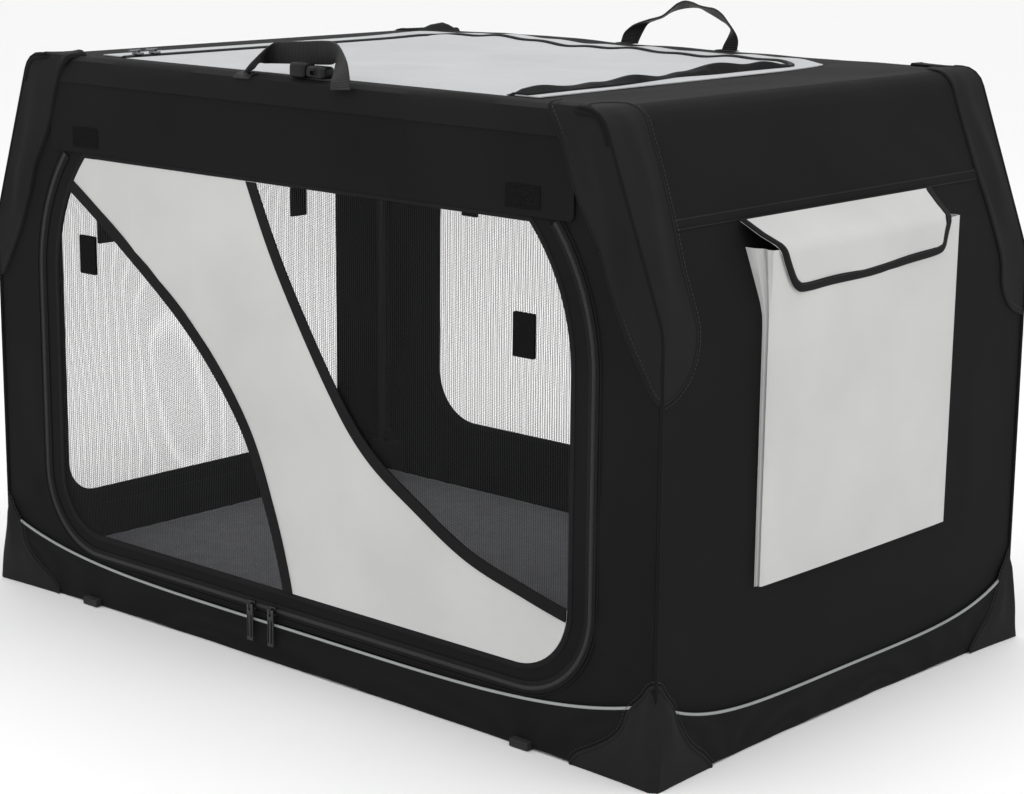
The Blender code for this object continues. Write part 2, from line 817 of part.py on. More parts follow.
DOOR_LINE = arched(DOOR_HALF, DOOR_LOW, DOOR_TOP, DOOR_CORNER)
OPEN_LINE = arched(
    DOOR_HALF - BORDER, DOOR_LOW + BORDER_LOW, DOOR_TOP - DOOR_GAP - BORDER_TOP, OPENING_CORNER
)
NET_LOW = -(CLOTH + NET) / 2
NET_HIGH = NET_LOW + NET
wall_half = between(shifted(END_PATH, -CLOTH - FIT, False), 0.0, WALL_TOP_Z)


def wall_outline(low):
    return mirrored(between(wall_half, low, WALL_TOP_Z))


def add_tabs(net, path, place, spots, parent):
    """Fastener squares sewn on the net, joined into it."""
    for k, (c, s) in enumerate(spots):
        outline = box_outline(c, s, TAB_WIDE / 2, TAB_HIGH / 2)
        bm = sheet(path, place, outline, [], NET_LOW + NET / 2, NET_HIGH + TAB_THICK)
        tab = finish(f"{net.name}_tab_{k}", bm, BLACK, 0.9, 0.0, parent)
        boolean(net, tab, "UNION")


for side, place, low, fold, door in (
    ("front", front_side, FRONT_PIVOT_Z + FOLD_GAP, FRONT_FOLD, FRONT_DOOR),
    ("back", back_side, BACK_PIVOT_Z + FOLD_GAP, BACK_FOLD, BACK_DOOR),
):
    # On the back the door starts higher, clear of the raised rim.
    line = DOOR_LINE
    inside = OPEN_LINE
    if side == "back":
        line = arched(DOOR_HALF, DOOR_LOW + PIVOT_STEP, DOOR_TOP, DOOR_CORNER)
        inside = arched(
            DOOR_HALF - BORDER,
            DOOR_LOW + PIVOT_STEP + BORDER_LOW,
            DOOR_TOP - DOOR_GAP - BORDER_TOP,
            OPENING_CORNER,
        )
    bm = sheet(SIDE_PATH, place, wall_outline(low), [line], -CLOTH, 0)
    finish(f"{side}_wall", bm, BLACK, 0.9, 0.0, fold)
    top = DOOR_TOP - DOOR_GAP
    below = [(-HALF_X, 0), (HALF_X, 0), (HALF_X, top), (-HALF_X, top)]
    strip = clipped(ribbon(line, 0.0, ZIP_WIDTH), below)
    bm = sheet(SIDE_PATH, place, strip, [], FIT, FIT + TRIM)
    finish(f"{side}_zip", bm, (0.01, 0.01, 0.01), 0.6, 0.0, fold)
    border = shifted(turned(list(line)), -DOOR_GAP)
    bm = sheet(SIDE_PATH, place, border, [inside], -CLOTH, 0)
    finish(f"{side}_door_border", bm, BLACK, 0.9, 0.0, door)
    net_outline = shifted(turned(list(inside)), -FIT)
    bm = sheet(SIDE_PATH, place, net_outline, [], NET_LOW, NET_HIGH)
    net = finish(f"{side}_door_net", bm, (0.02, 0.02, 0.02), 0.7, 0.0, door)
    if side == "back":
        add_tabs(net, SIDE_PATH, place, [(-TAB_X, TAB_Z), (TAB_X, TAB_Z)], door)

# Band over the top of the front door.
band_high = WALL_TOP_Z - BAND_GAP - DOOR_TOP
outline = box_outline(0, DOOR_TOP + band_high / 2, BAND_HALF, band_high / 2, BAND_CORNER)
bm = sheet(SIDE_PATH, front_side, outline, [], FIT, FIT + BAND_THICK)
finish("front_band", bm, BLACK, 0.9, 0.0, FRONT_FOLD)

# Slanting sash over the net of the front door, with a binding on each edge.
open_half = DOOR_HALF - BORDER
open_low = DOOR_LOW + BORDER_LOW
open_high = DOOR_TOP - open_low
LEFT_EDGE = [(-0.955, 0.916), (-0.718, 0.786), (-0.414, 0.594), (-0.203, 0.392)]
LEFT_EDGE += [(-0.096, 0.192), (-0.028, 0.0)]
RIGHT_EDGE = [(-0.135, 1.0), (-0.014, 0.791), (0.177, 0.537), (0.313, 0.404)]
RIGHT_EDGE += [(0.490, 0.308), (0.670, 0.227), (0.862, 0.180), (1.010, 0.150)]


def sash_edge(shares, first, last):
    """A sash edge through shares of the opening, run on past both ends."""
    points = [first] + shares + [last]
    return curve_through([(x * open_half, open_low + z * open_high) for x, z in points])


left_edge = sash_edge(LEFT_EDGE, (-1.12, 0.99), (-0.01, -0.12))
right_edge = sash_edge(RIGHT_EDGE, (-0.19, 1.12), (1.15, 0.13))
limit = shifted(turned(list(OPEN_LINE)), -2 * FIT)
edge_low = open_low - 0.12 * open_high
edge_high = open_low + 1.12 * open_high
around = left_edge + [(1.15 * open_half, edge_low)] + right_edge[::-1]
around += [(-1.12 * open_half, edge_high)]
sash_low = NET_HIGH + FIT
bm = sheet(SIDE_PATH, front_side, clipped(turned(around), limit), [], sash_low, sash_low + SASH)
finish("front_door_sash", bm, GREY, 0.85, 0.0, FRONT_DOOR)
bind_low = sash_low + SASH + FIT
for name, path, away in (("left", left_edge, 1), ("right", right_edge, -1)):
    strip = ribbon(path, 0.0, -away * BINDING)
    bm = sheet(SIDE_PATH, front_side, clipped(strip, limit), [], bind_low, bind_low + TRIM / 2)
    finish(f"sash_binding_{name}", bm, (0.012, 0.012, 0.012), 0.8, 0.0, FRONT_DOOR)

# End walls, bent over the top corners. The left one has a door.
wall_low = RIM_Z + FIT
full = [(-HALF_Y, wall_low), (HALF_Y, wall_low), (HALF_Y, ARC_END), (-HALF_Y, ARC_END)]
finish("end_wall_right", sheet(END_PATH, right_end, full, [], -CLOTH, 0), BLACK, 0.9)
LEFT_LINE = fillet(
    [(-LEFT_HALF, LEFT_TOP), (-LEFT_HALF, LEFT_LOW), (LEFT_HALF, LEFT_LOW), (LEFT_HALF, LEFT_TOP)],
    [0, LEFT_CORNER, LEFT_CORNER, 0],
    False,
)
left_hole = LEFT_LINE[:]
finish("end_wall_left", sheet(END_PATH, left_end, full, [left_hole], -CLOTH, 0), BLACK, 0.9)
zip_path = [(c, min(s, LEFT_TOP - DOOR_GAP)) for c, s in LEFT_LINE]
bm = sheet(END_PATH, left_end, ribbon(zip_path, 0.0, ZIP_WIDTH), [], FIT, FIT + TRIM)
finish("left_zip", bm, (0.01, 0.01, 0.01), 0.6)
border = shifted(turned(left_hole), -DOOR_GAP)
corner_r = LEFT_CORNER - LEFT_BORDER + 0.006
inside = fillet(
    [
        (-LEFT_HALF + LEFT_BORDER, LEFT_LOW + LEFT_BORDER),
        (LEFT_HALF - LEFT_BORDER, LEFT_LOW + LEFT_BORDER),
        (LEFT_HALF - LEFT_BORDER, LEFT_TOP - LEFT_BORDER / 2),
        (-LEFT_HALF + LEFT_BORDER, LEFT_TOP - LEFT_BORDER / 2),
    ],
    [corner_r, corner_r, LEFT_SHOULDER, LEFT_SHOULDER],
)
bm = sheet(END_PATH, left_end, border, [inside], -CLOTH, 0)
finish("left_door_border", bm, BLACK, 0.9, 0.0, LEFT_DOOR)
bm = sheet(END_PATH, left_end, shifted(turned(inside), -FIT), [], NET_LOW, NET_HIGH)
net = finish("left_door_net", bm, (0.02, 0.02, 0.02), 0.7, 0.0, LEFT_DOOR)
add_tabs(net, END_PATH, left_end, [(-LEFT_TAB_Y, TAB_Z), (LEFT_TAB_Y, TAB_Z)], LEFT_DOOR)

# Roof with its lips, the zip, the light margin and the roof door.
roof_length = stations(ROOF_PATH)[-1]
outline = [(-ROOF_HALF, 0), (ROOF_HALF, 0), (ROOF_HALF, roof_length), (-ROOF_HALF, roof_length)]
ROOF_LINE = fillet(
    [
        (ROOF_RIGHT, roof_s(-ROOF_FRONT)),
        (ROOF_RIGHT, roof_s(ROOF_BACK)),
        (-ROOF_LEFT, roof_s(ROOF_BACK)),
        (-ROOF_LEFT, roof_s(-ROOF_FRONT)),
    ],
    [0, ROOF_CORNER, ROOF_CORNER, 0],
    False,
)
bm = sheet(ROOF_PATH, back_side, outline, [ROOF_LINE], -CLOTH, 0)
finish("roof_surround", bm, (0.045, 0.045, 0.048), 0.85)
zip_path = [(c, min(s, roof_s(-ROOF_FRONT) - 0.002)) for c, s in ROOF_LINE]
zip_in = ribbon(zip_path[::-1], 0.0, ROOF_ZIP)
bm = sheet(ROOF_PATH, back_side, zip_in, [], FIT, FIT + TRIM)
finish("roof_zip", bm, (0.01, 0.01, 0.01), 0.6)
margin = ribbon(zip_path[::-1], ROOF_ZIP + FIT, ROOF_ZIP + FIT + ROOF_MARGIN)
bm = sheet(ROOF_PATH, back_side, margin, [], FIT, FIT + TRIM)
finish("roof_margin", bm, ROOF_GREY, 0.8)
bm = sheet(ROOF_PATH, back_side, shifted(turned(list(ROOF_LINE)), -DOOR_GAP), [], -CLOTH, 0)
finish("roof_door_panel", bm, ROOF_GREY, 0.8, 0.0, ROOF_DOOR)

# Spreader rods under the roof hold the two frames apart.
rod_z = HEIGHT - CLOTH - FIT - ROD_R
for sx, end in ((-1, "left"), (1, "right")):
    rod_x = sx * (ROOF_HALF - ROD_INSET)
    path = [(-HALF_Y + CLOTH + FIT, rod_z), (HALF_Y - CLOTH - FIT, rod_z)]
    bm = sweep(path, back_side, circle(ROD_R, rod_x, 12))
    finish(f"spreader_rod_{end}", bm, (0.62, 0.62, 0.64), 0.35, 1.0, smooth=True)

# Pocket on the right end, open at the top and against the wall.
pocket_low_x = HALF_X + POCKET_OUT_LOW
pocket_top_x = HALF_X + POCKET_OUT_TOP
wall_side = between(shifted(END_PATH, FIT, False), POCKET_LOW, POCKET_TOP)
profile = [(pocket_low_x, POCKET_LOW), (pocket_top_x, POCKET_TOP)] + wall_side[::-1]
bm = sweep([(0, -POCKET_HALF), (0, POCKET_HALF)], lambda u, v, w: Vector((u, v, w)), profile)
pocket = finish("pocket_body", bm, GREY, 0.85)
slope = (pocket_top_x - pocket_low_x) / (POCKET_TOP - POCKET_LOW)
hollow_low = POCKET_LOW + POCKET_CLOTH
hollow_top = POCKET_TOP + 0.01
inner_low_x = pocket_low_x - POCKET_CLOTH + slope * POCKET_CLOTH
inner_top_x = pocket_top_x - POCKET_CLOTH + slope * 0.01
deep = HALF_X - 2 * LEAN
profile = [(inner_low_x, hollow_low), (inner_top_x, hollow_top), (deep, hollow_top), (deep, hollow_low)]
hollow_half = POCKET_HALF - POCKET_CLOTH
bm = sweep([(0, -hollow_half), (0, hollow_half)], lambda u, v, w: Vector((u, v, w)), profile)
boolean(pocket, finish("pocket_hollow", bm, GREY, 0.85), "DIFFERENCE")

# Flap over the pocket, hinged on the leaning wall.
flap_x = pocket_top_x + FOLD_GAP
flap_end = FLAP_TOP
flap_wall_x = HALF_X - (FLAP_TOP - KINK_Z) * math.tan(lean_angle) + FLAP_SEAT
FLAP_PATH = [(flap_x, FLAP_LOW), (flap_x, POCKET_TOP + FLAP_RISE), (flap_wall_x, flap_end)]
POCKET_FLAP = pivot("pocket_flap_axis", (flap_wall_x + POCKET_CLOTH / 3, 0, flap_end + POCKET_CLOTH / 3))
flap_long = stations(FLAP_PATH)[-1]
outline = [
    (-FLAP_HALF + FLAP_CHAMFER, 0),
    (FLAP_HALF - FLAP_CHAMFER / 4, 0),
    (FLAP_HALF, FLAP_CHAMFER / 4),
    (FLAP_HALF, flap_long),
    (-FLAP_HALF, flap_long),
    (-FLAP_HALF, FLAP_CHAMFER),
]
bm = sheet(FLAP_PATH, right_end, outline, [], 0, POCKET_CLOTH)
finish("pocket_flap", bm, GREY, 0.85, 0.0, POCKET_FLAP)

# Front carry handle: a strap that lies inward on its edge.
strap_low = ROOF_TOP
base_y = HALF_Y - HANDLE_EDGE
grip_y = base_y - GRIP_IN + HANDLE_EDGE
path = fillet(
    [
        (HANDLE_X - HANDLE_HALF, -base_y),
        (HANDLE_X - GRIP_HALF, -grip_y),
        (HANDLE_X + GRIP_HALF, -grip_y),
        (HANDLE_X + HANDLE_HALF, -base_y),
    ],
    [0, 0.02, 0.02, 0],
    False,
)
half = STRAP_THICK / 2
section = [(-half, strap_low), (half, strap_low), (half, strap_low + STRAP), (-half, strap_low + STRAP)]
finish("front_handle", sweep(path, plan, section), BLACK, 0.8, 0.0, FRONT_HANDLE)

# Back carry handle: an upright arch of the same strap.
points = []
for k in range(11):
    angle = math.pi * k / 10
    x = HANDLE_X + HANDLE_HALF * math.cos(angle) * (1 - 0.16 * math.sin(angle))
    points.append((x, ROOF_TOP + STRAP_THICK / 4 + ARCH_HIGH * math.sin(angle)))
strap_y = HALF_Y - STRAP
section = [(-half, strap_y), (half, strap_y), (half, HALF_Y), (-half, HALF_Y)]
finish("back_handle", sweep(points, right_end, section), BLACK, 0.8, 0.0, BACK_HANDLE)

# Buckle: a hollow socket and the plug that slides out of it.
socket_y = -HALF_Y + BUCKLE_IN
mouth = BUCKLE_X + PLUG_GRIP
xs = [mouth, mouth + BUCKLE_LONG - BUCKLE_WALL, mouth + BUCKLE_LONG]


def within(low, size, wall):
    return [low, low + wall, low + size - wall, low + size]


ys = within(socket_y, BUCKLE_WIDE, BUCKLE_WALL)
zs = within(ROOF_TOP, BUCKLE_HIGH, BUCKLE_WALL)
bm = cells(xs, ys, zs, lambda i, j, k: not (i == 0 and j == 1 and k == 1))
finish("buckle_socket", bm, (0.02, 0.02, 0.02), 0.4)
BUCKLE = pivot("buckle_axis", (mouth, socket_y + BUCKLE_WIDE / 2, ROOF_TOP + BUCKLE_HIGH / 2))
xs = [BUCKLE_X, mouth - FIT, mouth + PLUG_REACH]
ys = within(socket_y, BUCKLE_WIDE, BUCKLE_WALL + PLUG_PLAY)
zs = within(ROOF_TOP, BUCKLE_HIGH, BUCKLE_WALL + PLUG_PLAY)
bm = cells(xs, ys, zs, lambda i, j, k: i == 0 or (j == 1 and k == 1))
finish("buckle_plug", bm, (0.02, 0.02, 0.02), 0.4, 0.0, BUCKLE)

# Zip sliders and forked pulls of the front door.
strip_out = HALF_Y + FIT + TRIM + FIT
slider_top = DOOR_LOW - DOOR_GAP
slider_low = slider_top - SLIDER_Z
lug_z = (slider_top + slider_low) / 2
for name, x in (("left", SLIDER_LEFT), ("right", SLIDER_RIGHT)):
    axis = pivot(f"front_slider_{name}_axis", (x, -strip_out, lug_z), FRONT_FOLD)
    xs = [-SLIDER_X / 2, -LUG_X / 2, LUG_X / 2, SLIDER_X / 2]
    us = [strip_out, strip_out + SLIDER_THICK, strip_out + SLIDER_THICK + LUG_OUT]
    zs = [slider_low, lug_z - LUG_X, lug_z + LUG_X / 2, slider_top]
    bm = cells(
        xs,
        us,
        zs,
        lambda i, j, k: j == 0 or (i == 1 and k == 1),
        lambda u, v, w: Vector((u + x, -v, w)),
    )
    finish(f"front_slider_{name}", bm, (0.03, 0.03, 0.03), 0.35, 0.6, axis)
    pull_y = strip_out + SLIDER_THICK + PULL_STAND
    swing = pivot(f"front_pull_{name}_axis", (x, -pull_y, lug_z), axis)
    inner = LUG_X / 2 + FIT
    outer = PULL_WIDE / 2
    top = lug_z + LUG_X
    outline = [
        (x - outer, top - PULL_LONG),
        (x + outer, top - PULL_LONG),
        (x + outer, top),
        (x + inner, top),
        (x + inner, top - PULL_NOTCH),
        (x - inner, top - PULL_NOTCH),
        (x - inner, top),
        (x - outer, top),
    ]
    pull_path = [(pull_y, 0), (pull_y, HEIGHT)]
    bm = sheet(pull_path, front_side, outline, [], -PULL_THICK / 2, PULL_THICK / 2)
    finish(f"front_pull_{name}", bm, (0.02, 0.02, 0.02), 0.5, 0.0, swing)

# Sliders on the left run of the roof zip.
for name, step in (("inner", 0), ("outer", 1)):
    y = ROOF_SLIDER_IN - ROOF_FRONT + (1 - step) * ROOF_SLIDER_STEP
    x = -ROOF_LEFT - ROOF_ZIP / 2
    z = HEIGHT + FIT + TRIM + FIT
    axis = pivot(f"roof_slider_{name}_axis", (x, y, z))
    xs = [x - SLIDER_X / 2, x - LUG_X / 2, x + LUG_X / 2, x + SLIDER_X / 2]
    ys = [y - SLIDER_Z / 2, y - LUG_X, y + LUG_X, y + SLIDER_Z / 2]
    zs = [z, z + SLIDER_THICK, z + SLIDER_THICK + LUG_OUT]
    bm = cells(xs, ys, zs, lambda i, j, k: k == 0 or (i == 1 and j == 1))
    finish(f"roof_slider_{name}", bm, (0.5, 0.5, 0.52), 0.3, 1.0, axis)
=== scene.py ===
"""A soft-sided folding crate for a dog, dressed for the studio.

Black woven cloth over two tube frames, net doors, a slanting grey sash, a grey roof
door and a grey pocket. Metres, +Z up, -Y is the front, +X is the end with the pocket.
"""

import math

import bmesh
import bpy
import numpy as np
from mathutils import Matrix, Vector
from mathutils.geometry import delaunay_2d_cdt


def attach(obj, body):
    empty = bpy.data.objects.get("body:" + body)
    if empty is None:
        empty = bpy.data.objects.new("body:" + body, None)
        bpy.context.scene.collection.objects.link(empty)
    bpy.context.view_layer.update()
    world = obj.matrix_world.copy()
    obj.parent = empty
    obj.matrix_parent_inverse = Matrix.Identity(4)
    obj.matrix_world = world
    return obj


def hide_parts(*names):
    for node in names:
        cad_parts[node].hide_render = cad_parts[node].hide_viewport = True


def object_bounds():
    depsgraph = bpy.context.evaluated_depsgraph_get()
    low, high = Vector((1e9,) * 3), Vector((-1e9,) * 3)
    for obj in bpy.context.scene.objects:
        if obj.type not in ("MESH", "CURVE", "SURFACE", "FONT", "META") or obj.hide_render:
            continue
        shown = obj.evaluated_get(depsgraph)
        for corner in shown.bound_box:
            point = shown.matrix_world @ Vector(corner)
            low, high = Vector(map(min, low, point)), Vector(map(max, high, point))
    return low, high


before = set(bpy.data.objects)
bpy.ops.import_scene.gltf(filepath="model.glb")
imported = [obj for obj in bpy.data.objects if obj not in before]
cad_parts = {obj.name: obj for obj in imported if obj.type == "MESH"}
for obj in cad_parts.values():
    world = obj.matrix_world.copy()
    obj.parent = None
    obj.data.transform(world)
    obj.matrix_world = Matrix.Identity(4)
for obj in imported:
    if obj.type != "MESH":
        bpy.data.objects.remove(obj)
cad_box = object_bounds()

# The studio: a seamless pale floor, a white room and three large soft lamps, with the
# camera at about the height of a standing person's hip, off the corner by the pocket.
camera_lens = bpy.data.cameras.new("camera")
camera_lens.lens = 85.1
camera_lens.sensor_width = 36
camera = bpy.data.objects.new("camera", camera_lens)
bpy.context.scene.collection.objects.link(camera)
yaw, pitch, roll = 2.303, -0.2218, 0.0095
level = math.cos(pitch)
ahead = Vector((math.cos(yaw) * level, math.sin(yaw) * level, math.sin(pitch)))
aside = Vector((math.sin(yaw), -math.cos(yaw), 0))
above = aside.cross(ahead)
tilted_aside = math.cos(roll) * aside + math.sin(roll) * above
tilted_above = -math.sin(roll) * aside + math.cos(roll) * above
turn = Matrix((tilted_aside, tilted_above, -ahead)).transposed().to_4x4()
eye = (1.6771, -1.8364, 0.7892)
camera.matrix_world = Matrix.Translation(eye) @ turn
bpy.context.scene.camera = camera

bpy.ops.object.select_all(action="DESELECT")
bpy.ops.mesh.primitive_plane_add(size=24, location=(0, 0, -0.0005))
floor = bpy.context.object
floor.name = "studio_floor"
bpy.ops.object.transform_apply(location=True)
paint = bpy.data.materials.new("studio_floor_paint")
paint.use_nodes = True
shader = paint.node_tree.nodes["Principled BSDF"]
shader.inputs["Base Color"].default_value = (0.93, 0.93, 0.93, 1)
shader.inputs["Roughness"].default_value = 0.9
floor.data.materials.append(paint)

room = bpy.data.worlds.new("white_room")
room.use_nodes = True
room.node_tree.nodes["Background"].inputs["Color"].default_value = (1, 1, 1, 1)
room.node_tree.nodes["Background"].inputs["Strength"].default_value = 1.0
bpy.context.scene.world = room
bpy.context.scene.view_settings.view_transform = "Standard"
for name, spot, power, size in (
    ("lamp_above", (0.1, 0.1, 2.7), 19, 2.4),
    ("lamp_front", (0.6, -2.9, 1.7), 9, 2.0),
    ("lamp_end", (2.9, 0.6, 1.7), 6, 1.8),
):
    lamp = bpy.data.lights.new(name, "AREA")
    lamp.energy = power
    lamp.size = size
    stand = bpy.data.objects.new(name, lamp)
    bpy.context.scene.collection.objects.link(stand)
    stand.location = spot
    toward = Vector((0, 0, 0.3)) - Vector(spot)
    stand.rotation_euler = toward.to_track_quat("-Z", "Y").to_euler()

# The ground sheet: a shallow tray of the same black cloth, its sides turned up behind
# the walls. It hangs a little slack between the corners, so its lower edge waves.
crate_half_length = 0.455
crate_half_depth = 0.290
crate_height = 0.580


def set_inputs(node, values):
    """Sets a node's inputs by name; an underscore in a name stands for a space."""
    for key, value in values.items():
        node.inputs[key.replace("_", " ")].default_value = value


def new_look(name, **values):
    """A new material, its tree of nodes and its shader, with some of its inputs set."""
    look = bpy.data.materials.new(name)
    look.use_nodes = True
    shader = look.node_tree.nodes["Principled BSDF"]
    set_inputs(shader, values)
    return look, look.node_tree, shader


def add_node(tree, kind, **values):
    node = tree.nodes.new("ShaderNode" + kind)
    set_inputs(node, values)
    return node


def two_tone(tree, first, second):
    """A node that mixes two colours."""
    mix = add_node(tree, "Mix")
    mix.data_type = "RGBA"
    mix.inputs[6].default_value = (*first, 1)
    mix.inputs[7].default_value = (*second, 1)
    return mix


def arithmetic(tree, operation, factor=None):
    node = add_node(tree, "Math")
    node.operation = operation
    if factor is not None:
        node.inputs[1].default_value = factor
    return node


def wire(tree, *runs):
    """Links nodes; each run is (from, its output, to, its input)."""
    for giver, output, taker, entry in runs:
        tree.links.new(giver.outputs[output], taker.inputs[entry])


wave_run = 0.314159  # the length in which the wave texture repeats at scale 1


def woven(name, thread, shade, pitch, rough, lift, sheen=0.0, sewn=True):
    """Plain-woven cloth: pillowy yarn crossings, darker between them with painted shade, and faint
    cloudy wear.
    """
    cloth_look, tree, shader = new_look(
        name, Roughness=rough, Specular_IOR_Level=0.09, Sheen_Weight=sheen, Sheen_Roughness=0.4,
    )
    place = add_node(tree, "TexCoord")
    crossing = arithmetic(tree, "MULTIPLY")
    for k, direction in enumerate("XY"):
        yarn = add_node(tree, "TexWave", Scale=wave_run / pitch)
        yarn.bands_direction = direction
        wire(tree, (place, "UV" if sewn else "Object", yarn, "Vector"), (yarn, "Fac", crossing, k))
    clouds = add_node(tree, "TexNoise", Scale=9, Detail=5)
    # The tint paints shade between the yarn crossings, mixed with the cloudy wear.
    tint = two_tone(tree, shade, thread)
    amount = arithmetic(tree, "MULTIPLY_ADD", 0.55)
    bump = add_node(tree, "Bump", Strength=0.6, Distance=lift)
    wire(
        tree, (place, "Object", clouds, "Vector"), (crossing, 0, amount, 0),
        (clouds, "Fac", amount, 2), (amount, 0, tint, 0), (tint, 2, shader, "Base Color"),
        (crossing, 0, bump, "Height"), (bump, 0, shader, "Normal"),
    )
    return cloth_look


black_thread, black_shade = (0.0092, 0.0092, 0.0096), (0.0044, 0.0044, 0.0047)
black_cloth = woven(
    "black_cloth", black_thread, black_shade,
    pitch=0.0009, rough=0.82, lift=0.0002, sheen=0.01,
)


def points_between(a, b, steps):
    """Evenly spaced points from a up to, and without, b."""
    return [
        (a[0] + (b[0] - a[0]) * k / steps, a[1] + (b[1] - a[1]) * k / steps)
        for k in range(steps)
    ]


def seen_from_above(x, y, radius=0.004, step=0.010):
    """A rounded rectangle round the crate, as evenly spaced points."""
    ring = []
    for cx, cy, start in ((x, -y, -90), (x, y, 0), (-x, y, 90), (-x, -y, 180)):
        for k in range(5):
            angle = math.radians(start + 22.5 * k)
            middle = (cx - math.copysign(radius, cx), cy - math.copysign(radius, cy))
            x_out, y_out = radius * math.cos(angle), radius * math.sin(angle)
            ring.append((middle[0] + x_out, middle[1] + y_out))
    spaced = []
    for a, b in zip(ring, ring[1:] + ring[:1]):
        steps = max(1, round(math.dist(a, b) / step))
        spaced += points_between(a, b, steps)
    return spaced


def slack(x, y):
    """How far the cloth's lower edge hangs out or in at a place along the crate's foot."""
    run = x if abs(y) > crate_half_depth - 0.01 else y * 1.7 + 0.4
    corner = min(1.0, (crate_half_length - abs(x) + crate_half_depth - abs(y)) / 0.12)
    return corner * (math.sin(run * 21 + 0.6) * 0.55 + math.sin(run * 47 + y * 5) * 0.30)


def flared(x, y, z):
    """The cloth's foot spreads outward at the four corners, most at the ground."""
    near = math.exp((abs(x) - crate_half_length + abs(y) - crate_half_depth) / 0.090)
    out = 0.0082 * min(1.0, near) * max(0.0, 1 - z / 0.088)
    return (x + math.copysign(out, x), y + math.copysign(out, y), z)


def skinned(shape, rounds):
    """Faces between each ring of points and the next one."""
    for low_ring, high_ring in zip(rounds, rounds[1:]):
        for k in range(len(low_ring)):
            n = (k + 1) % len(low_ring)
            shape.faces.new((low_ring[k], low_ring[n], high_ring[n], high_ring[k]))


def set_down(name, shape):
    """Turns a shape of points and faces into a piece in the scene."""
    mesh = bpy.data.meshes.new(name)
    shape.to_mesh(mesh)
    shape.free()
    piece = bpy.data.objects.new(name, mesh)
    bpy.context.scene.collection.objects.link(piece)
    return piece


tray = bmesh.new()
rim_high = 0.0400
hang_from = 0.035
levels = [
    (0.0, 0.012), (0.0, 0.0035), (0.0015, 0.001), (0.005, 0.0), (0.012, 0.0), (0.020, 0.0),
    (0.030, 0.0), (rim_high, 0.0),
]
rounds = []
for high, inward in levels:
    ring = []
    for x, y in seen_from_above(crate_half_length - inward, crate_half_depth - inward):
        hang = slack(x, y) * max(0.0, 1 - high / hang_from)
        lift_edge = max(0.0, hang) * 0.0035 if inward and 0 < high < 0.02 else 0.0
        out = -0.0016 * (1 - hang) * max(0.0, 1 - high / hang_from) if inward < 0.010 else 0.0
        far = Vector((x, y, 0)).normalized() * out
        ring.append(tray.verts.new(flared(x + far.x, y + far.y, high + lift_edge)))
    rounds.append(ring)
skinned(tray, rounds)
tray.faces.new(rounds[0][::-1])
ground_cloth = set_down("ground_sheet_cloth", tray)


def pick(obj):
    bpy.ops.object.select_all(action="DESELECT")
    bpy.context.view_layer.objects.active = obj
    obj.select_set(True)


def use(obj, *modifiers):
    """Adds modifiers, each a (kind, settings) pair, and applies them in turn."""
    pick(obj)
    for kind, settings in modifiers:
        modifier = obj.modifiers.new(kind.lower(), kind)
        for key, value in settings.items():
            setattr(modifier, key, value)
        bpy.ops.object.modifier_apply(modifier=modifier.name)


def smooth(obj, degrees=40):
    pick(obj)
    bpy.ops.object.shade_smooth_by_angle(angle=math.radians(degrees))


use(ground_cloth, ("SOLIDIFY", {"thickness": 0.0015, "offset": -1}))
smooth(ground_cloth)
ground_look = woven(
    "ground_cloth", black_thread, black_shade,
    pitch=0.0009, rough=0.8, lift=0.0002, sheen=0.01, sewn=False,
)
ground_cloth.data.materials.append(ground_look)
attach(ground_cloth, "base")
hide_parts("ground_sheet")

# The base frame under the board: four drawn aluminium rails butted into moulded corner
# blocks, with the stiff board laid on them. The two folding frames are pinned above.
drawn_tube, tree, shader = new_look("drawn_tube", Metallic=1.0)
place = add_node(tree, "TexCoord")
stretch = add_node(tree, "Mapping", Scale=(4, 4, 900))
streaks = add_node(tree, "TexNoise", Scale=1.0, Detail=4)
grade = add_node(tree, "MapRange", To_Min=0.30, To_Max=0.48)
tone = two_tone(tree, (0.47, 0.47, 0.48), (0.60, 0.60, 0.62))
wire(
    tree, (place, "Object", stretch, "Vector"), (stretch, 0, streaks, "Vector"),
    (streaks, "Fac", grade, "Value"), (grade, 0, shader, "Roughness"),
    (streaks, "Fac", tone, 0), (tone, 2, shader, "Base Color"),
)


def moulded(name, colour, rough, grain=900, depth=0.00008, **finish):
    """Moulded plastic with a fine spark-eroded grain and slightly uneven gloss."""
    plastic, tree, shader = new_look(name, **finish)
    place = add_node(tree, "TexCoord")
    speck = add_node(tree, "TexNoise", Scale=grain, Detail=3)
    wear = add_node(tree, "TexNoise", Scale=40, Detail=4)
    gloss = add_node(tree, "MapRange", To_Min=rough - 0.08, To_Max=rough + 0.10)
    shade = two_tone(tree, [c * 0.75 for c in colour], [c * 1.2 for c in colour])
    bump = add_node(tree, "Bump", Strength=0.5, Distance=depth)
    wire(
        tree, (place, "Object", speck, "Vector"), (place, "Object", wear, "Vector"),
        (wear, "Fac", gloss, "Value"), (gloss, 0, shader, "Roughness"),
        (wear, "Fac", shade, 0), (shade, 2, shader, "Base Color"),
        (speck, "Fac", bump, "Height"), (bump, 0, shader, "Normal"),
    )
    return plastic


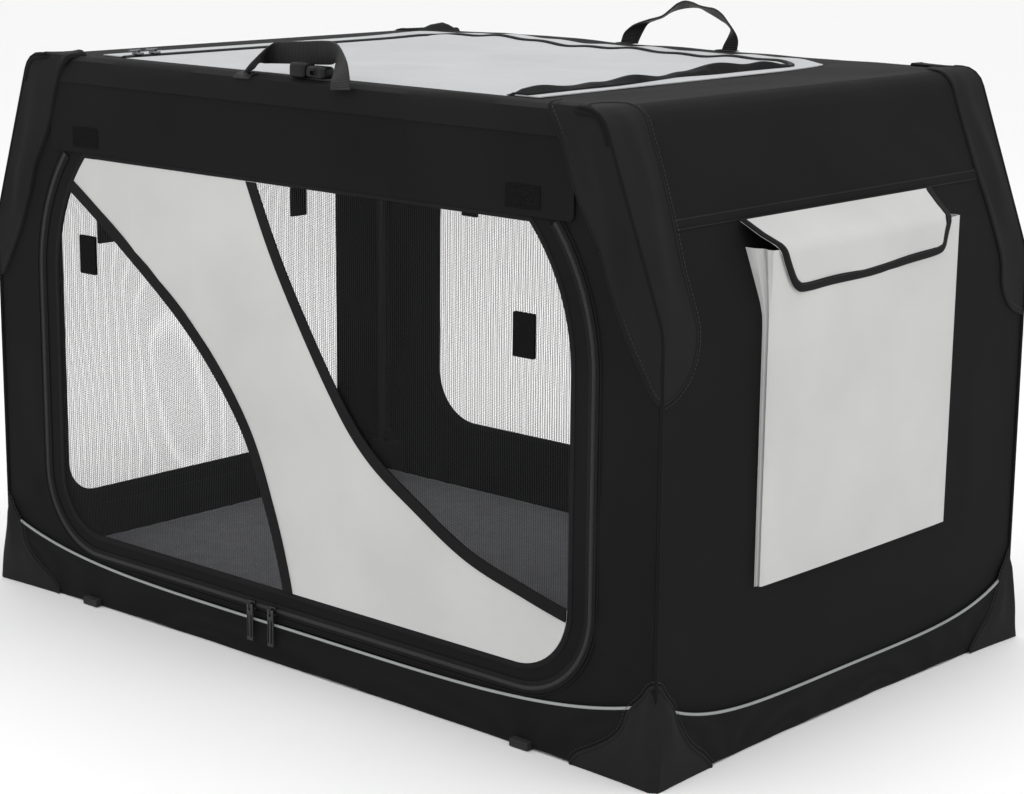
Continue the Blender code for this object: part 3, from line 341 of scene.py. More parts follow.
block_plastic = moulded("block_plastic", (0.010, 0.010, 0.010), rough=0.50)
board_plastic = moulded("board_plastic", (0.045, 0.045, 0.050), rough=0.60, grain=300, depth=0.0002)
frame_coating = moulded(
    "frame_coating", (0.012, 0.012, 0.013), rough=0.55, grain=1400, depth=0.00006,
)
for node, look in (
    ("base_rail_front", drawn_tube), ("base_rail_back", drawn_tube), ("base_rail_left", drawn_tube),
    ("base_rail_right", drawn_tube), ("front_frame", frame_coating), ("back_frame", frame_coating),
    ("spreader_rod_left", drawn_tube), ("spreader_rod_right", drawn_tube),
    ("corner_bracket_front_left", block_plastic), ("corner_bracket_front_right", block_plastic),
    ("corner_bracket_back_left", block_plastic), ("corner_bracket_back_right", block_plastic),
    ("floor_board", board_plastic),
):
    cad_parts[node].data.materials.clear()
    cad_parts[node].data.materials.append(look)

# The mat: a thin dark fleece pad with a soft crown, lying loose on the board. Its sides
# pull in a little between the corners and its edge is turned and sewn.
mat_low, mat_rim, mat_crown = 0.0199, 0.0085, 0.0132
mat_half_length, mat_half_depth = 0.4355, 0.2645
bpy.ops.object.select_all(action="DESELECT")
bpy.ops.mesh.primitive_cube_add(size=1, location=(0, 0, mat_low + mat_rim / 2))
mat = bpy.context.object
mat.name = "mat_pad"
bpy.ops.transform.resize(
    value=(2 * mat_half_length - 0.006, 2 * mat_half_depth - 0.006, mat_rim - 0.001),
)
bpy.ops.object.transform_apply(location=True, scale=True)
bpy.ops.object.mode_set(mode="EDIT")
bpy.ops.mesh.select_all(action="SELECT")
bpy.ops.mesh.bevel(offset=0.003, segments=3, affect="EDGES")
bpy.ops.object.mode_set(mode="OBJECT")
use(mat, ("REMESH", {"mode": "VOXEL", "voxel_size": 0.0065}))
before = np.empty(len(mat.data.vertices) * 3)
mat.data.vertices.foreach_get("co", before)
before = before.reshape(-1, 3)
swell = mat.modifiers.new("cloth", "CLOTH")
swell.settings.quality = 4
swell.settings.use_pressure = True
swell.settings.uniform_pressure_force = 3
swell.settings.effector_weights.gravity = 0
swell.settings.tension_stiffness = 12
swell.settings.bending_stiffness = 4
for number in range(1, 13):
    bpy.context.scene.frame_set(number)
bpy.ops.object.modifier_apply(modifier=swell.name)
bpy.context.scene.frame_set(1)
after = np.empty(len(mat.data.vertices) * 3)
mat.data.vertices.foreach_get("co", after)
after = after.reshape(-1, 3)
moved = after - before
reach = np.linalg.norm(moved, axis=1, keepdims=True)
after = before + moved * np.minimum(1, 0.004 / np.maximum(reach, 1e-9))
u = np.clip(np.abs(after[:, 0]) / mat_half_length, 0, 1)
v = np.clip(np.abs(after[:, 1]) / mat_half_depth, 0, 1)
up = before[:, 2] > mat_low + mat_rim / 2
dome = (1 - u**8) * (1 - v**8)
soft = np.sin(7 * after[:, 0] / 0.44 + 1.3) * np.sin(5 * after[:, 1] / 0.27 + 0.4)
ripple = np.sin(after[:, 0] * 31 + after[:, 1] * 17) * np.sin(after[:, 0] * 12 - after[:, 1] * 26)
crown = mat_crown - mat_rim - 0.0006 + 0.0005 * soft + 0.0004 * ripple
after[:, 2] += np.where(up, dome * crown, 0)
pulled_in = 0.004
pull = pulled_in * (1 - np.minimum(1, v**2))
after[:, 0] -= np.sign(after[:, 0]) * pull * u**10
pull = pulled_in * (1 - np.minimum(1, u**2))
after[:, 1] -= np.sign(after[:, 1]) * pull * v**10
after[:, 0] = np.clip(after[:, 0], -mat_half_length, mat_half_length)
after[:, 1] = np.clip(after[:, 1], -mat_half_depth, mat_half_depth)
after[:, 2] = np.clip(after[:, 2], mat_low, mat_low + mat_crown)
mat.data.vertices.foreach_set("co", after.ravel())
smooth(mat, 60)
fleece, tree, shader = new_look(
    "mat_fleece", Roughness=0.95, Sheen_Weight=0.35, Sheen_Roughness=0.5,
)
place = add_node(tree, "TexCoord")
tufts = add_node(tree, "TexNoise", Scale=420, Detail=6)
mottle = add_node(tree, "TexNoise", Scale=55, Detail=5)
blend = arithmetic(tree, "MULTIPLY_ADD", 0.7)
halved = arithmetic(tree, "MULTIPLY", 0.45)
melange = add_node(tree, "ValToRGB")
dark, light = melange.color_ramp.elements
dark.position, light.position = 0.38, 0.78
dark.color = (0.022, 0.024, 0.030, 1)
light.color = (0.115, 0.122, 0.140, 1)
pile = add_node(tree, "Bump", Strength=0.8, Distance=0.0012)
wire(
    tree, (place, "Object", tufts, "Vector"), (place, "Object", mottle, "Vector"),
    (mottle, "Fac", halved, 0), (tufts, "Fac", blend, 0), (halved, 0, blend, 2),
    (blend, 0, melange, 0), (melange, 0, shader, "Base Color"),
    (tufts, "Fac", pile, "Height"), (pile, 0, shader, "Normal"),
)
mat.data.materials.append(fleece)
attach(mat, "base")
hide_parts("mat")

# The turned edge of the mat: a folded tape sewn all round it at half its height.
tape = bmesh.new()
ring_rows = []
for x, y in seen_from_above(mat_half_length - 0.0012, mat_half_depth - 0.0012, 0.012, 0.012):
    share_x = min(1.0, abs(x) / mat_half_length)
    share_y = min(1.0, abs(y) / mat_half_depth)
    x -= math.copysign(pulled_in * (1 - share_y**2) * share_x**10, x)
    y -= math.copysign(pulled_in * (1 - share_x**2) * share_y**10, y)
    outward = Vector((x * share_x**4, y * share_y**4, 0)).normalized()
    row = []
    for k in range(8):
        angle = math.pi * 2 * k / 8
        at = Vector((x, y, mat_low + 0.0042)) + outward * 0.0019 * math.cos(angle)
        row.append(tape.verts.new((at.x, at.y, at.z + 0.0040 * math.sin(angle))))
    ring_rows.append(row)
for one, two in zip(ring_rows, ring_rows[1:] + ring_rows[:1]):
    for k in range(8):
        tape.faces.new((one[k], two[k], two[(k + 1) % 8], one[(k + 1) % 8]))
bmesh.ops.recalc_face_normals(tape, faces=tape.faces[:])
mat_tape = set_down("mat_edge_tape", tape)
smooth(mat_tape, 60)
mat_tape.data.materials.append(ground_look)
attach(mat_tape, "base")

# Four small feet: folded tabs of tough rubbered webbing, sewn under the long sides and
# standing out a finger's width.
foot_plastic = moulded("foot_rubber", (0.0075, 0.0075, 0.0075), rough=0.80, grain=500, depth=0.0002)
bpy.ops.object.select_all(action="DESELECT")
bpy.ops.mesh.primitive_cube_add(size=1, location=(0, 0, 0.004))
foot = bpy.context.object
bpy.ops.transform.resize(value=(0.022, 0.0095, 0.0076))
bpy.ops.object.transform_apply(location=True, scale=True)
bpy.ops.object.mode_set(mode="EDIT")
bpy.ops.mesh.select_all(action="SELECT")
bpy.ops.mesh.subdivide(number_cuts=1)
bpy.ops.mesh.select_all(action="DESELECT")
bpy.ops.object.mode_set(mode="OBJECT")
for side in foot.data.polygons:
    side.select = side.center.y < -0.004
bpy.ops.object.mode_set(mode="EDIT")
bpy.ops.mesh.select_mode(type="FACE")
bpy.ops.mesh.inset(thickness=0.0018, depth=-0.0008)
bpy.ops.mesh.select_all(action="SELECT")
bpy.ops.mesh.bevel(offset=0.0005, segments=2, affect="EDGES")
bpy.ops.object.mode_set(mode="OBJECT")
for end, x in (("left", -0.307), ("right", 0.307)):
    for side, way in (("front", 1), ("back", -1)):
        copy_mesh = foot.data.copy()
        copy_foot = bpy.data.objects.new(f"rubber_foot_{side}_{end}", copy_mesh)
        bpy.context.scene.collection.objects.link(copy_foot)
        place_at = Matrix.Translation((x, -way * (crate_half_depth + 0.0051), 0))
        copy_mesh.transform(place_at @ Matrix.Rotation(0 if way == 1 else math.pi, 4, "Z"))
        smooth(copy_foot)
        copy_mesh.materials.append(foot_plastic)
        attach(copy_foot, "base")
        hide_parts(f"foot_{side}_{end}")
bpy.data.objects.remove(foot)

# The front wall: one piece of black cloth with the door cut out of it, stretched on the
# front tube frame. It is taut, with slight drag lines from the corners.


def corner_arcs(points, radii, closed=True, turn=6.0):
    """Rounds the corners of a pattern's outline, or of the line that cloth is bent along."""
    result = []
    count = len(points)
    for i, radius in enumerate(radii):
        here = Vector(points[i])
        if radius <= 0 or (not closed and i in (0, count - 1)):
            result.append((here.x, here.y))
            continue
        back = (Vector(points[i - 1]) - here).normalized()
        on = (Vector(points[(i + 1) % count]) - here).normalized()
        bend = math.pi - back.angle(on)
        middle = here + (back + on).normalized() * radius / math.cos(bend / 2)
        start = here + back * radius * math.tan(bend / 2) - middle
        sign = 1 if start.y * back.x - start.x * back.y > 0 else -1
        steps = max(2, round(math.degrees(bend) / turn))
        for k in range(steps + 1):
            angle = sign * bend * k / steps
            x = start.x * math.cos(angle) - start.y * math.sin(angle)
            y = start.x * math.sin(angle) + start.y * math.cos(angle)
            result.append((middle.x + x, middle.y + y))
    return result


def edge_ways(points, closed=True):
    """The outward way at each point of a line; outward is to the right of the way on."""
    p = np.array(points, dtype=float)
    if closed:
        before, after = np.roll(p, 1, 0), np.roll(p, -1, 0)
    else:
        before = np.vstack([p[0] * 2 - p[1], p[:-1]])
        after = np.vstack([p[1:], p[-1] * 2 - p[-2]])
    a, b = p - before, after - p
    a /= np.linalg.norm(a, axis=1, keepdims=True)
    b /= np.linalg.norm(b, axis=1, keepdims=True)
    ways = np.stack([a[:, 1] + b[:, 1], -(a[:, 0] + b[:, 0])], 1)
    ways /= np.linalg.norm(ways, axis=1, keepdims=True)
    reach = np.maximum(0.25, ways[:, 0] * a[:, 1] - ways[:, 1] * a[:, 0])
    return ways / reach[:, None]


def moved_out(points, distance, closed=True):
    moved = np.array(points) + edge_ways(points, closed) * distance
    return [tuple(p) for p in moved]


def anticlockwise(points):
    p = np.array(points)
    q = np.roll(p, -1, 0)
    area = (p[:, 0] * q[:, 1] - q[:, 0] * p[:, 1]).sum()
    return list(points) if area > 0 else list(points)[::-1]


def spaced_out(ring, step, closed=True):
    """The line with extra points, so that none are further apart than the step."""
    result = []
    for a, b in zip(ring, ring[1:] + ring[:1] if closed else ring[1:]):
        result += points_between(a, b, max(1, math.ceil(math.dist(a, b) / step)))
    if not closed:
        result.append(ring[-1])
    return result


def inside_rings(points, rings):
    """True for each point that lies in the pattern and out of its holes."""
    hit = np.zeros(len(points), dtype=bool)
    for ring in rings:
        r = np.array(ring)
        s = np.roll(r, -1, 0)
        for (ax, ay), (bx, by) in zip(r, s):
            if ay == by:
                continue
            crosses = (ay > points[:, 1]) != (by > points[:, 1])
            at = ax + (points[:, 1] - ay) * (bx - ax) / (by - ay)
            hit ^= crosses & (points[:, 0] < at)
    return hit


def marks_along(line):
    """How far along a line each of its points is."""
    steps = np.linalg.norm(np.diff(np.array(line, dtype=float), axis=0), axis=1)
    return np.concatenate([[0], np.cumsum(steps)])


def bent_to(line, s, out):
    """Points at distances s along the line that the cloth is bent to, and out from it."""
    p = np.array(line)
    marks = marks_along(line)
    ways = edge_ways(line, False)
    u = np.interp(s, marks, p[:, 0]) + out * np.interp(s, marks, ways[:, 0])
    v = np.interp(s, marks, p[:, 1]) + out * np.interp(s, marks, ways[:, 1])
    return u, v


def made_up(name, verts, faces, charts, degrees=None):
    """A piece of points and faces, turned outward and smoothed, with its pattern's chart."""
    mesh = bpy.data.meshes.new(name)
    mesh.from_pydata(verts, [], faces)
    if charts is not None:
        chart = mesh.uv_layers.new(name="pattern")
        chart.data.foreach_set("uv", np.array(charts, dtype=float).ravel())
    made = bmesh.new()
    made.from_mesh(mesh)
    bmesh.ops.recalc_face_normals(made, faces=made.faces[:])
    made.to_mesh(mesh)
    made.free()
    piece = bpy.data.objects.new(name, mesh)
    bpy.context.scene.collection.objects.link(piece)
    if degrees is not None:
        smooth(piece, degrees)
    return piece


def far_from(points, rim):
    """How far each point is from the nearest point of the rim."""
    far = np.empty(len(points))
    for k in range(0, len(points), 2000):
        part = points[k:k + 2000]
        far[k:k + 2000] = np.sqrt(((part[:, None] - rim[None]) ** 2).sum(2).min(1))
    return far


def cloth_mesh(name, rings, line, place, low, high, relief=None, grid=0.012, fade=0.02):
    """Cloth cut to a pattern with holes and bent to a line, with both faces and its cut edge."""
    rings = [spaced_out(anticlockwise(ring), grid) for ring in rings]
    points = [p for ring in rings for p in ring]
    edges = []
    first = 0
    for ring in rings:
        edges += [(first + k, first + (k + 1) % len(ring)) for k in range(len(ring))]
        first += len(ring)
    rim = np.array(points)
    lows, highs = rim.min(0), rim.max(0)
    across = np.arange(lows[0] + grid / 2, highs[0], grid)
    along = np.arange(lows[1] + grid / 2, highs[1], grid)
    field = np.stack(np.meshgrid(across, along), -1).reshape(-1, 2)
    field = field[inside_rings(field, rings)]
    field = field[far_from(field, rim) > grid * 0.55]
    every = [Vector(p) for p in points] + [Vector(p) for p in field]
    cut = delaunay_2d_cdt(every, edges, [], 0, 1e-7)
    flat = np.array([tuple(p) for p in cut[0]])
    faces = [tuple(f) for f in cut[2]]
    middles = np.array([flat[list(f)].mean(0) for f in faces])
    faces = [f for f, keep in zip(faces, inside_rings(middles, rings)) if keep]
    ordered = []
    for f in faces:
        a, b, c = (flat[i] for i in f[:3])
        turned = (b[0] - a[0]) * (c[1] - a[1]) - (b[1] - a[1]) * (c[0] - a[0])
        ordered.append(f if turned > 0 else f[::-1])
    rise = np.zeros(len(flat))
    if relief is not None:
        ease = np.clip(far_from(flat, rim) / fade, 0, 1)
        rise = relief(flat[:, 0], flat[:, 1]) * ease * ease * (3 - 2 * ease)
    verts = []
    for out in (low, high):
        u, v = bent_to(line, flat[:, 1], out + rise)
        verts += [place(a, b, c) for a, b, c in zip(u, v, flat[:, 0])]
    count = len(flat)
    used = dict.fromkeys((a, b) for f in ordered for a, b in zip(f, f[1:] + f[:1]))
    rims = [(a, b) for a, b in used if (b, a) not in used]
    solid = [tuple(count + i for i in f) for f in ordered] + [f[::-1] for f in ordered]
    solid += [(a, b, count + b, count + a) for a, b in rims]
    return made_up(name, verts, solid, flat[np.concatenate(solid) % count], 45)


def on_front(u, v, w):
    return (w, -u, v)


def on_back(u, v, w):
    return (w, u, v)


def on_right(u, v, w):
    return (u, w, v)


def on_left(u, v, w):
    return (-u, w, v)


def creased(lines, cloud=0.0006, seed=0.0):
    """Soft ridges along lines, each (from, to, half width, height), over faint unevenness."""
    def rise(c, s):
        slow = np.sin(c * 23 + seed) * np.sin(s * 19 + 2 * seed)
        total = cloud * (slow + 0.6 * np.sin(c * 51 + s * 37 + seed))
        for (c0, s0), (c1, s1), wide, high in lines:
            run = np.array((c1 - c0, s1 - s0))
            length = np.linalg.norm(run)
            run = run / length
            on = (c - c0) * run[0] + (s - s0) * run[1]
            off = (c - c0) * run[1] - (s - s0) * run[0] + 0.004 * np.sin(on * 38 + seed + c0 * 30)
            share = np.clip(on / length, 0, 1)
            ridge = high * np.exp(-(off / wide) ** 2) * np.sin(math.pi * share) ** 0.7
            total = total + ridge * ((on > 0) & (on < length))
        return total
    return rise


end_line = corner_arcs(
    [(crate_half_length, 0), (crate_half_length, 0.400), (0.387, crate_height), (0, crate_height)],
    [0, 0.060, 0.024, 0], False, 3,
)
wall_top = 0.5607
wall_inner, wall_outer = -0.0019, -0.0002
side_line = [(crate_half_depth, 0), (crate_half_depth, crate_height)]


def wall_pattern(low):
    """The long side's outline: upright to the kink, then leaning in at both ends."""
    inner = np.array(moved_out(end_line, -0.0026, False))
    rising = inner[: int(np.argmax(inner[:, 1] > wall_top)) + 1]
    between = rising[(rising[:, 1] > low + 0.004) & (rising[:, 1] < wall_top - 0.002), 1]
    heights = np.concatenate([[low], between, [wall_top]])
    right = [(float(np.interp(h, rising[:, 1], rising[:, 0])), float(h)) for h in heights]
    return right + [(-x, z) for x, z in reversed(right)]


def door_line(half, low, top, corner, steps=10):
    """The line of a long side's door: up from its rounded lower corners to the arched shoulders."""
    arch_from, arch_top, arch_in = 0.350, 0.483, 0.050
    bend = 2 * math.atan2(arch_in, arch_top - arch_from)
    radius = (arch_top - arch_from) / math.sin(bend)
    right = []
    for k in range(steps + 1):
        angle = bend * k / steps
        z = arch_from + (top - arch_from) * math.sin(angle) / math.sin(bend)
        right.append((half - radius * (1 - math.cos(angle)), z))
    left = [(-x, z) for x, z in reversed(right)]
    foot_line = [left[-1], (-half, low), (half, low), right[0]]
    base = corner_arcs(foot_line, [0, corner, corner, 0], False)
    return left[:-1] + base + right[1:]


door_cut = {
    "front": door_line(0.377, 0.060, 0.483, 0.080),
    "back": door_line(0.377, 0.084, 0.483, 0.080),
}
wall_low = {"front": 0.0425, "back": 0.0665}
on_side = {"front": on_front, "back": on_back}
drag = {
    "front": creased([
        ((-0.37, 0.548), (-0.20, 0.520), 0.010, 0.0012),
        ((0.365, 0.545), (0.24, 0.512), 0.010, 0.0012),
        ((-0.05, 0.552), (-0.02, 0.495), 0.012, 0.0008),
        ((0.10, 0.551), (0.07, 0.498), 0.014, 0.0009),
        ((0.405, 0.330), (0.395, 0.180), 0.010, 0.0012),
        ((-0.405, 0.300), (-0.398, 0.140), 0.010, 0.0012),
        ((0.415, 0.130), (0.397, 0.062), 0.009, 0.0012),
        ((-0.42, 0.140), (-0.402, 0.062), 0.009, 0.0012),
        ((0.385, 0.128), (0.450, 0.104), 0.009, 0.0034),
        ((0.402, 0.094), (0.448, 0.092), 0.007, -0.0022),
        ((0.430, 0.165), (0.452, 0.125), 0.008, -0.0026),
        ((-0.400, 0.120), (-0.448, 0.100), 0.009, 0.0022),
    ], 0.0005, 0.7),
    "back": creased([
        ((-0.35, 0.545), (-0.18, 0.522), 0.012, 0.0012),
        ((0.34, 0.545), (0.20, 0.515), 0.012, 0.0012),
        ((0.410, 0.340), (0.400, 0.170), 0.010, 0.0012),
        ((-0.410, 0.320), (-0.400, 0.150), 0.010, 0.0012),
    ], 0.0005, 2.1),
}
for side in ("front", "back"):
    wall = cloth_mesh(
        f"{side}_wall_cloth", [wall_pattern(wall_low[side]), door_cut[side]], side_line,
        on_side[side], wall_inner, wall_outer, drag[side], grid=0.010, fade=0.015,
    )
    wall.data.materials.append(black_cloth)
    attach(wall, f"{side}_side")
    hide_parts(f"{side}_wall")

# The zips of the long sides: black tape sewn round the door's cut, with the closed coil
# of teeth standing along its middle.


def beading(name, line, bent, place, section, closed=False, capped=True):
    """A trim with one section, (aside, out) points, laid along a line on the cloth."""
    p = np.array(line, dtype=float)
    ways = edge_ways(line, closed)
    run = marks_along(p)
    verts = []
    around = [0.0]
    for a, b in zip(section, section[1:] + section[:1]):
        around.append(around[-1] + math.dist(a, b))
    for aside, out in section:
        at = p + ways * aside
        u, v = bent_to(bent, at[:, 1], out)
        verts.append([place(a, b, c) for a, b, c in zip(u, v, at[:, 0])])
    count, sides = len(p), len(section)
    flat = [verts[k][i] for i in range(count) for k in range(sides)]
    faces, charts = [], []
    pairs = [(i, i + 1) for i in range(count - 1)] + ([(count - 1, 0)] if closed else [])
    for i, j in pairs:
        far = run[j] if j else run[-1] + math.dist(p[-1], p[0])
        for k in range(sides):
            m = (k + 1) % sides
            faces.append((i * sides + k, j * sides + k, j * sides + m, i * sides + m))
            charts += [(run[i], around[k]), (far, around[k]), (far, around[k + 1]),
                       (run[i], around[k + 1])]
    if not closed and capped:
        faces.append(tuple(range(sides)))
        faces.append(tuple((count - 1) * sides + k for k in reversed(range(sides))))
        charts += [(0.0, 0.0)] * (2 * sides)
    return made_up(name, flat, faces, charts, 50)


def half_round(middle, wide, low, high, steps=6):
    """The section of a ridge: flat below and round above."""
    arc = [math.pi * k / steps for k in range(steps + 1)]
    return [(middle + wide / 2 * math.cos(a), low + (high - low) * math.sin(a)) for a in arc]


def flat_tape(near, far, low, high):
    """The section of a woven tape, with its edges just eased."""
    ease = (high - low) * 0.4
    return [(far, low), (far, high - ease), (far - ease, high), (near + ease, high),
            (near, high - ease), (near, low)]


def zip_look(name, pitch, colour):
    """Polyester tape and coil: ribs across the run, darker in the grooves with painted shade, and a
    little shine on each tooth.
    """
    material, tree, shader = new_look(name)
    place = add_node(tree, "TexCoord")
    teeth = add_node(tree, "TexWave", Scale=wave_run / pitch)
    teeth.bands_direction = "X"
    # The colour goes darker in each groove between the ribs: painted shade.
    shade = two_tone(tree, [c * 0.35 for c in colour], colour)
    gloss = add_node(tree, "MapRange", To_Min=0.85, To_Max=0.52)
    bump = add_node(tree, "Bump", Strength=0.9, Distance=0.0006)
    wire(
        tree, (place, "UV", teeth, "Vector"), (teeth, "Fac", shade, 0),
        (teeth, "Fac", gloss, "Value"), (teeth, "Fac", bump, "Height"),
        (shade, 2, shader, "Base Color"), (gloss, 0, shader, "Roughness"),
        (bump, 0, shader, "Normal"),
    )
    return material


zip_tape_look = woven(
    "zip_tape", (0.012, 0.012, 0.013), (0.005, 0.005, 0.006),
    pitch=0.0007, rough=0.7, lift=0.0002,
)
zip_coil_look = zip_look("zip_coil", 0.0016, (0.015, 0.015, 0.016))


def joined(name, objects):
    """Joins sewn pieces into one, which keeps each one's material."""
    bpy.ops.object.select_all(action="DESELECT")
    for obj in objects:
        obj.select_set(True)
    bpy.context.view_layer.objects.active = objects[0]
    bpy.ops.object.join()
    objects[0].name = name
    return objects[0]


def tape_and_coil(run, bent, place, tape_section, coil_section):
    """A closed zip along a run: its tape, and the coil of teeth on it."""
    strips = []
    for name, section, look in (
        ("tape", tape_section, zip_tape_look), ("coil", coil_section, zip_coil_look),
    ):
        strip = beading(f"zip_{name}", run, bent, place, section)
        strip.data.materials.append(look)
        strips.append(strip)
    return strips


door_tape = flat_tape(-0.0016, 0.010, 0.0003, 0.0009)
door_coil = half_round(0.0048, 0.0042, 0.0008, 0.0024)
welt_section = half_round(0.0122, 0.0026, -0.0004, 0.0011)
for side in ("front", "back"):
    below = [p for p in spaced_out(door_cut[side], 0.008, False) if p[1] < 0.4825]
    strips = tape_and_coil(below, side_line, on_side[side], door_tape, door_coil)
    welt = beading(f"{side}_welt", below, side_line, on_side[side], welt_section)
    welt.data.materials.append(black_cloth)
    zipper = joined(f"{side}_zip_closed", strips + [welt])
    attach(zipper, f"{side}_side")
    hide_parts(f"{side}_zip")

# The long sides' doors: a border of black cloth, cut as one ring, round a net window.
# Its inner edge is bound with a narrow folded tape, and it turns up about its top edge.


def folded_tape(outer_back, fold_back, inner_back):
    """The section of a binding folded over the door's edge, by how far back its parts lie."""
    front = [(0.0056, -0.0010), (0.0052, 0.0003), (0.0030, 0.0008), (0.0004, 0.0006)]
    fold = [(-0.0004, -0.0003), (-0.0004, fold_back), (0.0004, inner_back)]
    return [(0.0052, outer_back)] + front + fold


net_cut = {
    "front": door_line(0.355, 0.077, 0.4785, 0.060),
    "back": door_line(0.355, 0.101, 0.4785, 0.060),
}
for side in ("front", "back"):
    outer = moved_out(anticlockwise(door_cut[side]), -0.0005)
    border = cloth_mesh(
        f"{side}_door_edge", [outer, net_cut[side]], side_line, on_side[side],
        -0.0018, -0.0002, grid=0.010,
    )
    border.data.materials.append(black_cloth)
    ring = anticlockwise(net_cut[side])
    binding = beading(
        f"{side}_door_binding", spaced_out(ring, 0.012), side_line, on_side[side],
        folded_tape(-0.0022, -0.0017, -0.0025), True,
    )
    binding.data.materials.append(zip_tape_look)
    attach(border, f"{side}_door")
    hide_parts(f"{side}_door_border")
    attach(binding, f"{side}_door")

# The windows: fine black net, knitted with small square-round holes, that hangs a
# little slack inside the border.


def net_look(name, pitch, open_share):
    """Knitted net: threads round square-round holes, in rows that are staggered by half."""
    net, tree, shader = new_look(name, Base_Color=(0.010, 0.010, 0.011, 1), Roughness=0.6)
    place = add_node(tree, "TexCoord")
    split = add_node(tree, "SeparateXYZ")
    wire(tree, (place, "UV", split, 0))

    def sum_of(operation, a, b=None):
        node = arithmetic(tree, operation)
        for k, value in enumerate((a, b)):
            if isinstance(value, (int, float)):
                node.inputs[k].default_value = value
            elif value is not None:
                tree.links.new(value, node.inputs[k])
        return node.outputs[0]

    across = sum_of("DIVIDE", split.outputs["X"], pitch)
    up = sum_of("DIVIDE", split.outputs["Y"], pitch * 0.9)
    column = sum_of("FLOOR", across)
    shift = sum_of("MULTIPLY", column, 0.5)
    x = sum_of("ABSOLUTE", sum_of("SUBTRACT", sum_of("FRACT", across), 0.5))
    y = sum_of("ABSOLUTE", sum_of("SUBTRACT", sum_of("FRACT", sum_of("ADD", up, shift)), 0.5))
    reach = sum_of("ADD", sum_of("POWER", x, 4), sum_of("POWER", y, 4))
    solid = sum_of("GREATER_THAN", reach, open_share ** 4)
    tree.links.new(solid, shader.inputs["Alpha"])
    return net


window_net = net_look("window_net", 0.0027, 0.478)


def pulled(net, places):
    """Stretches the knit unevenly, as sewing does: each place is (across, along, reach, share)."""
    chart = net.data.uv_layers["pattern"].data
    spots = np.empty(len(chart) * 2)
    chart.foreach_get("uv", spots)
    spots = spots.reshape(-1, 2)
    moved = spots.copy()
    for c, s, reach, share in places:
        away = spots - (c, s)
        moved += away * (share * np.exp(-(away**2).sum(1) / reach**2))[:, None]
    chart.foreach_set("uv", moved.ravel())


net_inner, net_outer = -0.0012, -0.00095
for side in ("front", "back"):
    cut = moved_out(anticlockwise(net_cut[side]), 0.0015)
    sag = creased([
        ((-0.33, 0.43), (-0.12, 0.20), 0.020, 0.0010),
        ((-0.30, 0.20), (-0.12, 0.14), 0.020, -0.0010),
        ((0.10, 0.45), (0.30, 0.25), 0.022, 0.0009), ((0.02, 0.30), (0.20, 0.12), 0.020, -0.0008),
    ], 0.0004, 0.3 if side == "front" else 1.9)
    net = cloth_mesh(
        f"{side}_window_net", [cut], side_line, on_side[side], net_inner, net_outer, sag,
        grid=0.016, fade=0.04,
    )
    pulled(net, [
        (-0.30, 0.14, 0.12, 0.05), (-0.18, 0.30, 0.16, -0.035), (0.18, 0.36, 0.16, 0.03),
        (0.02, 0.20, 0.15, -0.02),
    ])
    net.data.materials.append(window_net)
    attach(net, f"{side}_door")
    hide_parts(f"{side}_door_net")

# The fastener squares: hook-and-loop patches sewn on both long nets, to hold the rolled-up
# doors; two more close the corners of the band over the front door.
hook_look, tree, shader = new_look("hook_and_loop", Roughness=1.0, Specular_IOR_Level=0.05)
place = add_node(tree, "TexCoord")
hooks = add_node(tree, "TexVoronoi", Scale=900)
tone = two_tone(tree, (0.003, 0.003, 0.003), (0.012, 0.012, 0.012))
bump = add_node(tree, "Bump", Strength=1.0, Distance=0.0008)
wire(
    tree, (place, "Object", hooks, "Vector"), (hooks, "Distance", tone, 0),
    (hooks, "Distance", bump, "Height"), (tone, 2, shader, "Base Color"),
    (bump, 0, shader, "Normal"),
)


def box_pattern(c, s, half_c, half_s, radius):
    ways = ((-1, -1), (1, -1), (1, 1), (-1, 1))
    corners = [(c + way_c * half_c, s + way_s * half_s) for way_c, way_s in ways]
    return corner_arcs(corners, [radius] * 4, True, 22)


fastener_high = 0.3775
for side in ("front", "back"):
    for end, x in (("left", -0.305), ("right", 0.300)):
        square = box_pattern(x, fastener_high, 0.0125, 0.020, 0.0015)
        patch = cloth_mesh(
            f"{side}_fastener_{end}", [square], side_line, on_side[side], -0.0022, 0.0005,
        )
        patch.data.materials.append(hook_look)
        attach(patch, f"{side}_door")

# The band over the front door: a doubled strip of the black cloth that the door hangs
# from, sewn along its top and closed at its lower corners.
band_pattern = box_pattern(0, 0.519, 0.357, 0.036, 0.006)
band_ease = creased([
    ((-0.30, 0.500), (0.28, 0.497), 0.012, 0.0006), ((-0.2, 0.545), (0.1, 0.530), 0.010, 0.0005),
], 0.0003, 1.2)
band = cloth_mesh(
    "front_band_cloth", [band_pattern], side_line, on_front, 0.0003, 0.0021, band_ease,
    grid=0.010, fade=0.012,
)
band.data.materials.append(black_cloth)
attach(band, "front_side")
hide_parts("front_band")
for end, x in (("left", -0.301), ("right", 0.299)):
    square = box_pattern(x, 0.4995, 0.0205, 0.0105, 0.0015)
    patch = cloth_mesh(f"band_fastener_{end}", [square], side_line, on_front, 0.0012, 0.0023)
    patch.data.materials.append(hook_look)
    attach(patch, "front_side")

# The slanting sash: light grey cloth sewn over the front net from the top left to the
# bottom right, each long edge bound with black tape. It drapes softly at the top left.
grey_cloth = woven(
    "grey_cloth", (0.585, 0.585, 0.578), (0.445, 0.445, 0.440),
    pitch=0.0009, rough=0.85, lift=0.0002, sheen=0.1,
)


